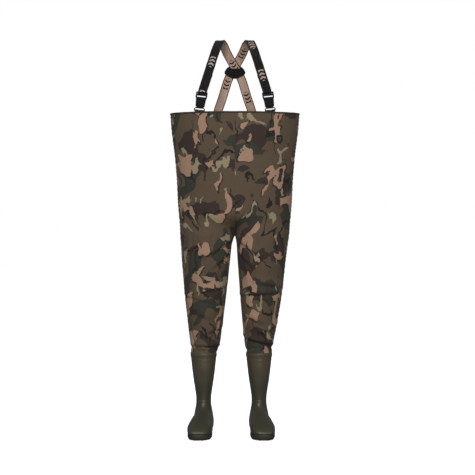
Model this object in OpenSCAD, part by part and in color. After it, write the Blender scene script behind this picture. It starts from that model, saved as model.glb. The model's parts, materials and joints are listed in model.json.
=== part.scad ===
// Chest waders: a fabric body with a centre seam, moulded boots, elastic braces on side-release
// buckles. Millimetres, +Z up, the wearer faces -Y, and the origin is on the floor between the boots.
// "left" and "right" are the wearer's, so left is +X.

/* [Body] */
// Height of the chest hem above the floor
hem_z = 1349; // [1300:1:1380]
// Height of the crotch above the floor
crotch_z = 836; // [820:1:850]
// Width across the chest hem
chest_w = 542; // [520:1:560]
// Front-to-back depth at the chest hem
chest_d = 270; // [255:1:285]
// Width across the body at the waist
waist_w = 480; // [465:1:495]
// Width across the body at the crotch
hip_w = 458; // [445:1:470]
// Front-to-back depth at the crotch
hip_d = 244; // [235:1:255]
// Thickness of the coated fabric
fabric_t = 1.6; // [1:0.1:2]

/* [Legs] */
// Distance of each leg's centre from the middle, at the boots
leg_spread = 116; // [112:1:122]
// Sideways lean of both legs at the boots
leg_lean = -15; // [-15:1:0]
// Width of a leg at the thigh
thigh_w = 200; // [190:1:206]
// Width of a leg at the knee
knee_w = 158; // [150:1:164]
// Width of the cuff that is sealed round the boot
cuff_w = 108; // [107:1:112]
// Height of the cuff's lower edge
cuff_z = 343; // [335:1:345]
// Height of the hip hinge line
hip_z = 820; // [812:1:824]
// Height of the knee hinge line
knee_z = 530; // [515:1:545]
// How far the hip swings forward, in degrees
hip_forward = 75; // [45:1:80]
// How far the hip swings back, in degrees
hip_back = 15; // [5:1:20]
// How far the knee bends, in degrees
knee_bend = 75; // [45:1:80]

/* [Boots] */
// Height of the boot shaft, inside the cuff
shaft_z = 384; // [375:1:392]
// Thickness of the moulded boot wall
boot_wall = 3; // [2.5:0.1:3.5]
// Thickness of the outsole without its cleats
sole_t = 14; // [12:1:16]
// Height of the cleats
cleat_h = 8; // [6:1:10]
// How far the body's middle stands behind the middle of the whole object
mid_y = 36; // [34:1:38]
// How much the foot points outward, as a slope
toe_out = 0.09; // [0:0.01:0.12]

/* [Braces] */
// Width of the elastic webbing
web_w = 38; // [36:1:40]
// Thickness of the elastic webbing
web_t = 1.8; // [1.5:0.1:2]
// Height of the shoulder fold above the floor
shoulder_z = 1653; // [1635:1:1665]
// Distance of the shoulder fold from the middle
shoulder_x = 57; // [52:1:66]
// Height of the middle of the cross patch
patch_z = 1527; // [1518:1:1540]

/* [Buckles] */
// Distance of each front buckle from the middle, at the hem
buckle_x = 147; // [140:1:152]
// Turn of a buckle round the chest, in degrees
buckle_yaw = 17; // [12:1:20]
// Lean of a buckle towards the neck, in degrees
buckle_lean = 7; // [4:1:8]
// Tilt of a buckle towards the back, in degrees
buckle_tilt = 5; // [2:1:6]

/* [Hidden] */

LEFT = 1;
RIGHT = -1;
fine = $preview ? 48 : 64;
olive = [0.30, 0.27, 0.20];
khaki = [0.36, 0.32, 0.24];
boot_green = [0.22, 0.22, 0.16];
web_black = [0.12, 0.11, 0.10];
web_tan = [0.55, 0.45, 0.38];
hard_black = [0.05, 0.05, 0.05];

gap = 1.5;            // clearance between pieces that move apart
rise_h = 95;          // height over which the crotch opens out into the torso
band_h = 3;           // half-height of a crease at its hinge line
hip_y = mid_y;        // the hinge lines, front to back
knee_y = mid_y - 25;

// ---------- small helpers ----------
function mix(a, b, t) = a + (b - a) * t;
function clamp01(t) = min(1, max(0, t));
function ease(t) = let (c = clamp01(t)) c * c * (3 - 2 * c);
function unit(v) = v / norm(v);

// Triangles of a grid of rows by cols points that starts at point number base.
function grid(rows, cols, base, closed = false, flip = false) = [
    for (r = [0 : rows - 2], c = [0 : cols - (closed ? 1 : 2)])
        let (a = base + r * cols + c, b = base + r * cols + (c + 1) % cols, d = a + cols, e = b + cols)
        each flip ? [[a, e, b], [a, d, e]] : [[a, b, e], [a, e, d]]
];

// Triangles of the strip that joins two rows of point numbers.
function strip(p, q) = [for (i = [0 : len(p) - 2]) each [[p[i], q[i], q[i + 1]], [p[i], q[i + 1], p[i + 1]]]];

function flat_list(rows) = [for (row = rows) each row];
function span(first, count, step = 1) = [for (i = [0 : count - 1]) first + i * step];

// A closed sheet between two grids of points, outer and inner.
module sheet_solid(outer, inner) {
    rows = len(outer);
    cols = len(outer[0]);
    n = rows * cols;
    polyhedron(
        concat(flat_list(outer), flat_list(inner)),
        concat(
            grid(rows, cols, 0), grid(rows, cols, n, flip = true),
            strip(span(n, rows, cols), span(0, rows, cols)),
            strip(span(cols - 1, rows, cols), span(n + cols - 1, rows, cols)),
            strip(span(0, cols), span(n, cols)),
            strip(span(2 * n - cols, cols), span(n - cols, cols))
        )
    );
}

// A bar through a list of rings, capped at both ends.
module bar_solid(rings) {
    rows = len(rings);
    cols = len(rings[0]);
    last = (rows - 1) * cols;
    polyhedron(
        flat_list(rings),
        concat(
            grid(rows, cols, 0, closed = true),
            [[for (i = [cols - 1 : -1 : 0]) i]],
            [[for (i = [0 : cols - 1]) last + i]]
        )
    );
}

// A hoop: rings all the way round, joined last to first.
module hoop_solid(rings) {
    rows = len(rings);
    cols = len(rings[0]);
    polyhedron(
        flat_list(rings),
        [for (r = [0 : rows - 1], c = [0 : cols - 1])
            let (a = r * cols + c, b = r * cols + (c + 1) % cols,
                 d = ((r + 1) % rows) * cols + c, e = ((r + 1) % rows) * cols + (c + 1) % cols)
            each [[a, b, e], [a, e, d]]]
    );
}

// ---------- the body's surface ----------
waist_z = 1000;
function torso_hw(z) = lookup(z, [[crotch_z, hip_w / 2], [waist_z, waist_w / 2], [hem_z, chest_w / 2]]);
function torso_hd(z) = lookup(z, [[crotch_z, hip_d / 2], [waist_z, hip_d / 2 + 4], [hem_z, chest_d / 2]]);
function leg_hw(z) = lookup(z, [
    [cuff_z + 45, cuff_w / 2], [430, knee_w / 2 - 14], [knee_z, knee_w / 2],
    [735, thigh_w / 2], [crotch_z, hip_w / 4]
]);
function leg_hd(z) = lookup(z, [
    [cuff_z + 45, cuff_w / 2 + 6], [430, knee_w / 2 - 5], [knee_z, knee_w / 2 + 11],
    [735, thigh_w / 2 + 9], [crotch_z, hip_d / 2]
]);
function lean(z) = lookup(z, [[cuff_z, leg_lean], [630, leg_lean * 0.8], [crotch_z, 0]]);
function leg_x(side, z) = side * lookup(z, [[cuff_z, leg_spread], [crotch_z, hip_w / 4 + 0.6]]) + lean(z);

// A point of the body: t runs 0 to 360 from the inseam round the front, the side seam and the back.
function leg_point(side, t, z, inset) =
    [leg_x(side, z) - side * (leg_hw(z) - inset) * cos(t), mid_y - (leg_hd(z) - inset) * sin(t), z];
function torso_point(side, t, z, inset) =
    [side * (torso_hw(z) - inset) * sin(t / 2), mid_y - (torso_hd(z) - inset) * cos(t / 2), z];
function body_point(side, t, z, inset = 0) =
    mix(leg_point(side, t, z, inset), torso_point(side, t, z, inset), ease((z - crotch_z) / rise_h));

// A panel of fabric between the heights low(t) and high(t), for t from t0 to t1.
module fabric(side, t0, t1, low, high, rows, cols, out = 0, thick = fabric_t) {
    function sheet(inset) = [for (r = [0 : rows - 1]) [for (c = [0 : cols - 1])
        let (t = mix(t0, t1, c / (cols - 1)), z = mix(low(t), high(t), r / (rows - 1)))
        body_point(side, t, z, inset)]];
    if (side == LEFT) sheet_solid(sheet(thick - out), sheet(-out));
    else sheet_solid(sheet(-out), sheet(thick - out));
}

// The fabric that crosses a hinge line is a crease of its own. Its edges lie on two planes that open from
// the hinge line like a wedge, so that the panels above and below never meet when the leg bends.
wedge_spare = 3;
function opens(y, hinge_y, front_deg, back_deg) = band_h
    + max(0, hinge_y - y) * tan((front_deg + wedge_spare) / 2)
    + max(0, y - hinge_y) * tan((back_deg + wedge_spare) / 2);
// Height at which the line t of the body meets a hinge's upper plane (up = 1) or lower plane (up = -1)
function meets(t, z, up, hinge, tries = 12) = tries == 0 ? z :
    meets(t, hinge[1] + up * opens(body_point(LEFT, t, z)[1], hinge[0], hinge[2], hinge[3]), up, hinge, tries - 1);
HIP = [hip_y, hip_z, hip_forward, hip_back];
KNEE = [knee_y, knee_z, 0, knee_bend];
torso_edge = function (t) meets(t, HIP[1], 1, HIP);
thigh_top = function (t) meets(t, HIP[1], -1, HIP);
thigh_edge = function (t) meets(t, KNEE[1], 1, KNEE);
shin_top = function (t) meets(t, KNEE[1], -1, KNEE);
hem_edge = function (t) hem_z;
cuff_edge = function (t) cuff_z;

FRONT = [0, 180];
BACK = [180, 360];

module torso_panel(side, face) {
    color(olive) fabric(side, face[0], face[1], torso_edge, hem_edge, 12, 13);
}
module hip_crease(side, face) {
    color(khaki) fabric(side, face[0], face[1], thigh_top, function (t) torso_edge(t) - gap, 5, 13);
}
module thigh_panel(side, face) {
    color(olive) fabric(side, face[0], face[1], thigh_edge, thigh_top, 7, 13);
}
module knee_crease(side) {
    color(khaki) fabric(side, 1, 359, shin_top, function (t) thigh_edge(t) - gap, 5, 25);
}
module shin_panel(side, face) {
    color(olive) fabric(side, face[0], face[1], cuff_edge, shin_top, 6, 13);
}

// ---------- hem, seam tapes and badge ----------
function around(angle, z, out) = [(torso_hw(z) + out) * sin(angle), mid_y - (torso_hd(z) + out) * cos(angle), z];
binding_t = 1;
binding_h = 12;
module hem_binding() {
    inner = fabric_t + 0.2;
    // the folded tape's section, as [outward, up]
    profile = [
        [0.2, -binding_h], [0.2, 0.3], [-inner, 0.3], [-inner, -binding_h],
        [-inner - binding_t, -binding_h], [-inner - binding_t, 0.3 + binding_t],
        [0.2 + binding_t, 0.3 + binding_t], [0.2 + binding_t, -binding_h]
    ];
    color(web_black) hoop_solid([for (i = [0 : 47])
        [for (p = profile) around(i * 7.5, hem_z + p[1], p[0])]]);
}
tape_hw = 11;
tape_gap = 1.2;
module seam_tape(face) {
    low = crotch_z + rise_h + 40;
    high = hem_z - binding_h - 3;
    rows = 10;
    function sheet(inset) = [for (r = [0 : rows - 1]) [for (x = [-tape_hw, 0, tape_hw])
        let (z = mix(low, high, r / (rows - 1)), at = asin(x / torso_hw(z)), p = around(at, z, -inset))
        [x, mid_y + face * (p[1] - mid_y), z]]];
    color([0.25, 0.24, 0.22])
        if (face > 0) sheet_solid(sheet(fabric_t + tape_gap + 0.8), sheet(fabric_t + tape_gap));
        else sheet_solid(sheet(fabric_t + tape_gap), sheet(fabric_t + tape_gap + 0.8));
}
badge_z = 1237;
badge_x = 183;
badge_yaw = 26;
module chest_badge() {
    y = mid_y - torso_hd(badge_z) * cos(asin(badge_x / torso_hw(badge_z)));
    color(hard_black) translate([badge_x, y, badge_z]) rotate([92, 0, badge_yaw]) translate([0, 0, 1])
        difference() {
            hull() for (v = [-4, 4]) translate([0, v, 0]) cylinder(r = 14.5, h = 2.6, $fn = 32);
            translate([0, 0, 1.6]) hull() for (v = [-4, 4]) translate([0, v, 0]) cylinder(r = 11.5, h = 2, $fn = 32);
        }
}

// ---------- boots ----------
upper_z = cleat_h + sole_t + 0.3;
// The boot's sections from the shaft's top to the toe: [front y, front z, back y, back z, half-width]
boot_sections = [
    [-57, shaft_z, 57, shaft_z, 51], [-57, cuff_z, 57, cuff_z, 51.5], [-59, cuff_z - 8, 60, cuff_z - 8, 54],
    [-58, 285, 61, 285, 51], [-53, 240, 59, 238, 46], [-48, 200, 57, 195, 40], [-46, 168, 57, 155, 36],
    [-47, 143, 61, 118, 35], [-51, 128, 69, 85, 37], [-58, 118, 76, 52, 39], [-67, 110, 70, upper_z, 40],
    [-81, 101, 32, upper_z, 41], [-99, 92, -14, upper_z, 43], [-122, 82, -64, upper_z, 47],
    [-147, 72, -112, upper_z, 51], [-171, 63, -152, upper_z, 50], [-191, 52, -181, upper_z + 1, 44],
    [-204, 41, -199, upper_z + 4, 33], [-209, 34, -207, upper_z + 7, 20]
];
ring_n = 28;
function boot_ring(side, s, wall) =
    let (mid = [(s[0] + s[2]) / 2, (s[1] + s[3]) / 2], half = [s[0] - s[2], s[1] - s[3]] / 2,
         k = max(0.1, 1 - wall / norm(half)), off = side * toe_out * max(0, -mid[0]),
         square = ease((300 - s[1]) / 200) * 0.25)
    [for (i = [0 : ring_n - 1])
        let (a = 360 * i / ring_n, c = cos(a), n = sin(a),
             cc = sign(c) * pow(abs(c), 1 - square), nn = sign(n) * pow(abs(n), 1 - square))
        [off + nn * max(0.6, s[4] - wall), mid[0] + half[0] * cc * k, mid[1] + half[1] * cc * k]];

module at_boot(side) { translate([leg_x(side, cuff_z), mid_y, 0]) children(); }

module boot_upper(side) {
    outer = [for (s = boot_sections) boot_ring(side, s, 0)];
    last = len(boot_sections) - 1;
    inner = [for (i = [0 : last]) let (s = boot_sections[i])
        boot_ring(side, i < last ? s : [s[0] + boot_wall, s[1], s[2] + boot_wall, s[3], s[4]], boot_wall)];
    rows = last + 1;
    n = rows * ring_n;
    color(boot_green) at_boot(side) polyhedron(
        concat(flat_list(outer), flat_list(inner)),
        concat(
            grid(rows, ring_n, 0, closed = true), grid(rows, ring_n, n, closed = true, flip = true),
            [for (c = [0 : ring_n - 1]) let (d = (c + 1) % ring_n)
                each [[n + c, n + d, d], [n + c, d, c]]],
            [[for (i = [0 : ring_n - 1]) (rows - 1) * ring_n + i]],
            [[for (i = [ring_n - 1 : -1 : 0]) n + (rows - 1) * ring_n + i]]
        )
    );
}

// The band that seals the cuff's edge to the boot
module boot_seal(side) {
    profile = [[0.3, cuff_z + 8], [0.3, cuff_z + 0.5], [0.8, cuff_z - 8], [2.2, cuff_z - 6], [3, cuff_z], [2, cuff_z + 8]];
    color(boot_green) hoop_solid([for (i = [0 : 35]) [for (p = profile)
        leg_point(side, side * 10 * i, p[1], -p[0])]]);
}

// The sole's outline, grown by more
module sole_outline(side, more = 0) {
    module disc(y, r) { translate([-side * toe_out * min(0, y), y]) circle(r = r + more, $fn = fine); }
    union() {
        hull() { disc(48, 37); disc(-35, 33); }
        hull() { disc(-35, 33); disc(-124, 52); disc(-163, 46); }
    }
}
cleat_rows = [for (i = [0 : 5]) -190 + i * 22];
heel_rows = [for (i = [0 : 2]) 24 + i * 23];
module outsole(side) {
    color(boot_green) at_boot(side) {
        translate([0, 0, cleat_h]) linear_extrude(sole_t) sole_outline(side);
        linear_extrude(cleat_h + 0.5) intersection() {
            sole_outline(side, -2);
            union() for (y = concat(cleat_rows, heel_rows)) translate([-70, y - 7]) square([160, 14]);
        }
    }
}
module insole(side) {
    color([0.35, 0.34, 0.32]) at_boot(side)
        translate([0, 0, upper_z + boot_wall + 3]) linear_extrude(3) sole_outline(side, -19);
}

// ---------- buckles, in their own frame: x across, z up the webbing, -y to the front ----------
buckle_at = let (at = asin(buckle_x / torso_hw(hem_z)), p = around(at, hem_z, -fabric_t - binding_t - 7.6))
    [buckle_x, p[1], hem_z + 1.5];
function turn_x(p, a) = [p[0], p[1] * cos(a) - p[2] * sin(a), p[1] * sin(a) + p[2] * cos(a)];
function turn_y(p, a) = [p[0] * cos(a) + p[2] * sin(a), p[1], -p[0] * sin(a) + p[2] * cos(a)];
function turn_z(p, a) = [p[0] * cos(a) - p[1] * sin(a), p[0] * sin(a) + p[1] * cos(a), p[2]];
function buckle_turn(side, p) =
    turn_z(turn_y(turn_x(p, -buckle_tilt), -side * buckle_lean), side * buckle_yaw);
function buckle_point(side, p) = [side * buckle_at[0], buckle_at[1], buckle_at[2]] + buckle_turn(side, p);
module at_buckle(side) {
    translate([side * buckle_at[0], buckle_at[1], buckle_at[2]])
        rotate([0, 0, side * buckle_yaw]) rotate([0, -side * buckle_lean, 0]) rotate([-buckle_tilt, 0, 0])
            children();
}

plug_h = 18;        // the part of the plug that stays outside the socket
socket_h = 38;
ladder_h = 26;
frame_w = 49;
socket_w = 44;
frame_t = 7;
socket_t = 11;
bar_r = 2.2;
slot_w = web_w + 1.6;
lock_z = plug_h + socket_h;
prong_x = 12.5;
neck_w = 30;

// A rounded plate in the buckle's plane, from z0 to z1
module plate(w, z0, z1, t, r = 3) {
    hull() for (x = [-1, 1], z = [z0 + r, z1 - r])
        translate([x * (w / 2 - r), 0, z]) rotate([90, 0, 0]) cylinder(r = r, h = t, center = true, $fn = 24);
}
module slot(z0, z1) { translate([-slot_w / 2, -10, z0]) cube([slot_w, 20, z1 - z0]); }
module cross_bar(z, w) { translate([-w / 2, 0, z]) rotate([0, 90, 0]) cylinder(r = bar_r, h = w, $fn = 32); }

module buckle_plug(side) {
    color(hard_black) at_buckle(side) union() {
        difference() {
            plate(frame_w - 3, 0, plug_h - 2, frame_t - 1);
            slot(5, 12.5);
        }
        translate([-neck_w / 2, -2, plug_h - 4]) cube([neck_w, 4, 11]);
        translate([-4, -1.2, plug_h + 5]) cube([8, 2.4, 9]);
    }
}
prong_z = plug_h + 7.2;
// Each prong springs from the neck and ends in a barb that shows in the socket's side window.
module prong(side, out) {
    color(hard_black) at_buckle(side) translate([out * prong_x, 0, prong_z]) rotate([90, 0, 0])
        linear_extrude(3.6, center = true)
            polygon([[-1.6, 0], [1.6, 0], [2.4, 8], [out * 2 + 3.2, 9], [out * 3.2 + 3.4, 13], [2.6, 20],
                     [-2.6, 20], [out * 3.2 - 3.4, 13], [out * 2 - 3.2, 9], [-2.4, 8]]);
}
// A flat shape in the buckle's plane, from pairs of [half-width, height]
module tapered(pairs, t) {
    rotate([90, 0, 0]) linear_extrude(t, center = true)
        polygon(concat(pairs, [for (i = [len(pairs) - 1 : -1 : 0]) [-pairs[i][0], pairs[i][1]]]));
}
module buckle_socket(side) {
    body = [[16.5, plug_h], [18.4, plug_h + 2], [19.4, plug_h + 8], [20.6, lock_z - 10], [socket_w / 2, lock_z]];
    color(hard_black) at_buckle(side) {
        difference() {
            tapered(body, socket_t);
            tapered([[15.6, plug_h - 1], [16.6, plug_h + 8], [17.8, lock_z - 10], [17.8, lock_z - 3]], 7.2);
            for (x = [-1, 1]) translate([x * socket_w / 2, 0, prong_z + 12]) cube([12, 7.2, 13], center = true);
        }
        difference() {
            plate(frame_w, lock_z - 1, lock_z + ladder_h, frame_t);
            slot(lock_z + 4.5, lock_z + 12);
            slot(lock_z + 15.6, lock_z + ladder_h - 4.5);
            translate([0, 0, lock_z + 13.8]) cube([slot_w, 20, 4.6], center = true);
        }
        cross_bar(lock_z + 13.8, slot_w + 2);
    }
}

// A shape drawn from the side, as [towards the back, up], and as wide as the webbing
module web_side() { translate([-web_w / 2, 0, 0]) rotate([90, 0, 90]) linear_extrude(web_w) children(); }
// Webbing turned round a bar: open to the back, with both legs ending at reach
module web_turn(r_in, reach) {
    r_out = r_in + web_t;
    difference() {
        union() {
            circle(r = r_out, $fn = 40);
            translate([0, -r_out]) square([reach, 2 * r_out]);
        }
        circle(r = r_in, $fn = 40);
        translate([0, -r_in]) square([reach + 1, 2 * r_in]);
    }
}
tab_len = 52;
tab_slant = -2.4;    // how far the tab's sewn end leans forward from its loop, to lie along the fabric
module chest_tab(side) {
    bar = 3.3;
    end = bar + tab_slant;
    color(web_black) at_buckle(side) web_side() {
        difference() {
            translate([-bar - web_t, -0.6 - web_t]) square([2 * bar + 2 * web_t, 6.1 + 2 * web_t]);
            translate([-bar, -0.6]) square([2 * bar, 6.1]);
        }
        polygon([[end, -tab_len], [end + web_t, -tab_len], [bar + web_t, 1], [bar, 1]]);
    }
}

// The webbing's way through the ladder lock: behind the top bar, over the middle bar and back up.
wrap_bar = lock_z + 13.8;
wrap_top = lock_z + ladder_h + 2;
web_gap = 0.4;
front_layer = 4.1;    // how far the outgoing layer stands behind the lock's middle
module strap_wrap(side) {
    r = bar_r + 0.3;
    out_layer = front_layer - 0.5;
    tail_layer = front_layer + web_t + web_gap;
    color(web_black) at_buckle(side) web_side() translate([0, wrap_bar]) {
        web_turn(r, out_layer + web_t);
        translate([out_layer, r]) square([web_t, wrap_top - wrap_bar - r]);
        translate([out_layer, -r - web_t]) square([tail_layer + web_t - out_layer, web_t]);
        translate([tail_layer, -r - web_t]) square([web_t, wrap_top - wrap_bar + r + web_t]);
    }
}

// ---------- webbing runs ----------
// A smooth line through points, with steps pieces between each pair.
function spline(p, steps) = [
    for (i = [0 : len(p) - 2], k = [0 : steps - 1])
        let (t = k / steps, a = p[max(0, i - 1)], b = p[i], c = p[i + 1], d = p[min(len(p) - 1, i + 2)])
        0.5 * (2 * b + (c - a) * t + (2 * a - 5 * b + 4 * c - d) * t * t + (3 * b - a - 3 * c + d) * t * t * t),
    p[len(p) - 1]
];
// Flat webbing along a line. normals are the directions that its outer face looks in.
module webbing(line, normals, shift = 0) {
    n = len(line);
    bar_solid([for (i = [0 : n - 1])
        let (along = unit(line[min(n - 1, i + 1)] - line[max(0, i - 1)]),
             across = unit(cross(along, normals[i])), out = cross(across, along),
             mid = line[i] + out * shift)
        [for (q = [[-1, -1], [1, -1], [1, 1], [-1, 1]]) mid + across * q[0] * web_w / 2 + out * q[1] * web_t / 2]]);
}

// The straps fold over the shoulders on one surface that is straight from side to side, so that each
// strap's outer face looks along the cross product of the x axis and its own direction.
function lock_exit(side, back) = buckle_point(side, [0, back, wrap_top + 3]);
strap_y = front_layer - 0.5 + web_t / 2;
shoulder = [shoulder_x, mid_y, shoulder_z];
straight_end = [95, mid_y - 88, 1558];
straight_yaw = 12;    // turn of a front strap round the chest, near its buckle
function mirrored(side, p) = [side * p[0], p[1], p[2]];
function strap_aim(side) = unit(mirrored(side, straight_end) - lock_exit(side, strap_y));
function front_route(side) = let (a = lock_exit(side, strap_y), b = mirrored(side, straight_end))
    concat(
        [for (k = [0 : 3]) mix(a, b, k / 4)],
        spline([b, mirrored(side, [75, mid_y - 58, 1613]), mirrored(side, [62, mid_y - 22, 1645]),
                mirrored(side, shoulder - [0, 1.2, 0])], 5)
    );
function along_at(line, i) = unit(line[min(len(line) - 1, i + 1)] - line[max(0, i - 1)]);
function faces(line, yaws) = [for (i = [0 : len(line) - 1])
    turn_z(unit(cross([1, 0, 0], along_at(line, i))), yaws[i])];
module front_strap(side) {
    line = front_route(side);
    yaws = [for (p = line) side * straight_yaw * (1 - ease((p[2] - 1558) / 60))];
    color(web_black) webbing(line, faces(line, yaws));
}

tail_len = 78;
module strap_tail(side) {
    start = lock_exit(side, front_layer + web_t + web_gap + web_t / 2);
    line = [for (k = [0 : 2]) start + strap_aim(side) * tail_len * k / 2];
    color(web_black) webbing(line, faces(line, [for (p = line) side * straight_yaw]));
}

// Back of the braces: down from the shoulder, over the middle and on to the other side's hem
anchor_x = 75;        // where a back strap is sewn inside the hem
anchor_low = hem_z - 45;
function back_y(z) = mid_y + torso_hd(z) * cos(asin((anchor_x + 19) / torso_hw(z))) - fabric_t - binding_t - 3;
function back_route(side) = concat(
    spline([mirrored(side, shoulder + [0, 1.2, 0]), mirrored(side, [47, mid_y + 30, 1640]),
            mirrored(side, [31, mid_y + 60, 1606]), mirrored(side, [10, mid_y + 80, 1569]),
            mirrored(-side, [12, mid_y + 89, 1534])], 4),
    spline([mirrored(-side, [17, mid_y + 90.5, 1526]), mirrored(-side, [31, mid_y + 96, 1494]),
            mirrored(-side, [53, back_y(hem_z) - 14, 1424]), mirrored(-side, [anchor_x, back_y(hem_z), hem_z + 7])], 4),
    [mirrored(-side, [anchor_x + 1, back_y(anchor_low), anchor_low])]);
sewn_turn = 8;        // turn of the sewn ends, to lie along the hem
cross_lift = 1.15;    // how far each back strap stands off the middle surface, so that they cross
module back_strap(side) {
    line = back_route(side);
    // the sewn ends turn a little to lie along the hem
    yaws = [for (p = line) side * sewn_turn * ease((hem_z + 60 - p[2]) / 60)];
    color(web_tan) webbing(line, faces(line, yaws), side * cross_lift);
}

// The two leather faces of the patch, with the straps between them
patch_lean = -11;
patch_y = mid_y + 89;
module patch_outline() {
    hull() {
        translate([-17, 22]) circle(r = 5, $fn = 32);
        translate([17, 22]) circle(r = 5, $fn = 32);
        translate([-34, 0]) circle(r = 10, $fn = 32);
        translate([34, 0]) circle(r = 10, $fn = 32);
        translate([-8, -22]) circle(r = 5, $fn = 32);
        translate([8, -22]) circle(r = 5, $fn = 32);
    }
}
module cross_patch(back) {
    color(hard_black) translate([0, patch_y, patch_z]) rotate([90 - patch_lean, 0, 0])
        translate([0, 0, back ? -5.8 : 3.6]) linear_extrude(2.2) patch_outline();
}

torso_panel(LEFT, FRONT);  // left_front_torso_panel
torso_panel(RIGHT, FRONT);  // right_front_torso_panel
torso_panel(LEFT, BACK);  // left_back_torso_panel
torso_panel(RIGHT, BACK);  // right_back_torso_panel
hip_crease(LEFT, FRONT);  // left_front_hip_crease
hip_crease(RIGHT, FRONT);  // right_front_hip_crease
hip_crease(LEFT, BACK);  // left_back_hip_crease
hip_crease(RIGHT, BACK);  // right_back_hip_crease
thigh_panel(LEFT, FRONT);  // left_front_thigh_panel
thigh_panel(RIGHT, FRONT);  // right_front_thigh_panel
thigh_panel(LEFT, BACK);  // left_back_thigh_panel
thigh_panel(RIGHT, BACK);  // right_back_thigh_panel
knee_crease(LEFT);  // left_knee_crease
knee_crease(RIGHT);  // right_knee_crease
shin_panel(LEFT, FRONT);  // left_front_shin_panel
shin_panel(RIGHT, FRONT);  // right_front_shin_panel
shin_panel(LEFT, BACK);  // left_back_shin_panel
shin_panel(RIGHT, BACK);  // right_back_shin_panel
hem_binding();
seam_tape(1);  // front_seam_tape
seam_tape(-1);  // back_seam_tape
chest_badge();
boot_seal(LEFT);  // left_boot_seal
boot_seal(RIGHT);  // right_boot_seal
boot_upper(LEFT);  // left_boot_upper
boot_upper(RIGHT);  // right_boot_upper
outsole(LEFT);  // left_outsole
outsole(RIGHT);  // right_outsole
insole(LEFT);  // left_insole
insole(RIGHT);  // right_insole
chest_tab(LEFT);  // left_chest_tab
chest_tab(RIGHT);  // right_chest_tab
buckle_plug(LEFT);  // left_buckle_plug
buckle_plug(RIGHT);  // right_buckle_plug
prong(LEFT, 1);  // left_outer_prong
prong(RIGHT, -1);  // right_outer_prong
prong(LEFT, -1);  // left_inner_prong
prong(RIGHT, 1);  // right_inner_prong
buckle_socket(LEFT);  // left_buckle_socket
buckle_socket(RIGHT);  // right_buckle_socket
strap_wrap(LEFT);  // left_strap_wrap
strap_wrap(RIGHT);  // right_strap_wrap
strap_tail(LEFT);  // left_strap_tail
strap_tail(RIGHT);  // right_strap_tail
front_strap(LEFT);  // left_front_strap
front_strap(RIGHT);  // right_front_strap
back_strap(LEFT);  // left_back_strap
back_strap(RIGHT);  // right_back_strap
cross_patch(false);  // inner_cross_patch
cross_patch(true);  // outer_cross_patch
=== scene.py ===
# Chest waders: looks. Metres, +Z up, the wearer faces -Y, left is +X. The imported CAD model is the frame.
import json
import math

import bmesh
import bpy
import numpy as np
from mathutils import Matrix, Vector


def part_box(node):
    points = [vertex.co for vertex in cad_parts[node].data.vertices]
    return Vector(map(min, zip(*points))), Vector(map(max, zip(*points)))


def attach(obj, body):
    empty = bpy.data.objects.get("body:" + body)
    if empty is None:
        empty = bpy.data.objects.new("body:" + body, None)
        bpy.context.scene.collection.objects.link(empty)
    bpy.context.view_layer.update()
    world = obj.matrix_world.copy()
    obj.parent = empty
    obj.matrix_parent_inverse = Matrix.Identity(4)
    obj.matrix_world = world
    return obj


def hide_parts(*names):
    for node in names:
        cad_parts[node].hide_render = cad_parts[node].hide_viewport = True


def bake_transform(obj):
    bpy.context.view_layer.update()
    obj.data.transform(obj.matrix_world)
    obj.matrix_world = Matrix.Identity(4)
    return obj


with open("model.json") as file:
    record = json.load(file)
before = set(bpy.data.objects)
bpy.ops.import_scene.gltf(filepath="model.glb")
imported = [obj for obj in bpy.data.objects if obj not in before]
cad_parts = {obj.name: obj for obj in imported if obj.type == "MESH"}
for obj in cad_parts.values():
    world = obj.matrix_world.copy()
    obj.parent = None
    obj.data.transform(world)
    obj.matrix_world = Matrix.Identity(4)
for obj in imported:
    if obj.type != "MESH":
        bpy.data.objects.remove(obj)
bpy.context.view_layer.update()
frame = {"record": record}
JOINTS = {j["name"]: j for j in frame["record"]["behaviour"]["joints"]}
SIDES = {"left": 1, "right": -1}

# ---- driving dimensions
HEM_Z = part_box("left_front_torso_panel")[1].z
CUFF_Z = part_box("left_front_shin_panel")[0].z
MID_Y = JOINTS["left_hip"]["pos_m"][1]     # the body's middle, front to back
CROTCH_Z = 0.836
RISE = 0.095          # height over which the crotch opens out into the torso
FABRIC = 0.0012       # thickness of the coated cloth
SPLIT_Z = 0.675       # where the two fabric pieces of a leg meet, above the knee
CLOTH_PITCH = 0.0058        # distance between the rows of the finished cloth
PRINT_STEP = (3.7, 1.9)     # how far apart in the print two panels are cut
WEB_W = 0.038               # width and thickness of the braces' webbing
WEB_T = 0.0018
WEB_PITCH = 0.0035          # distance between the points of a strap's line


# ---- camera, floor and light
def make_camera():
    data = bpy.data.cameras.new("camera")
    data.lens = 122.6
    data.sensor_width = 36
    cam = bpy.data.objects.new("camera", data)
    bpy.context.collection.objects.link(cam)
    cam.location = (0.011, -6.75, 0.83)
    cam.rotation_euler = (math.radians(90), 0, 0)
    bpy.context.scene.camera = cam


def area_light(name, place, aim, size, watts):
    data = bpy.data.lights.new(name, "AREA")
    data.shape = "RECTANGLE"
    data.size, data.size_y = size
    data.energy = watts
    lamp = bpy.data.objects.new(name, data)
    bpy.context.collection.objects.link(lamp)
    lamp.location = place
    lamp.rotation_euler = (Vector(aim) - Vector(place)).to_track_quat("-Z", "Y").to_euler()
    return lamp


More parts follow.
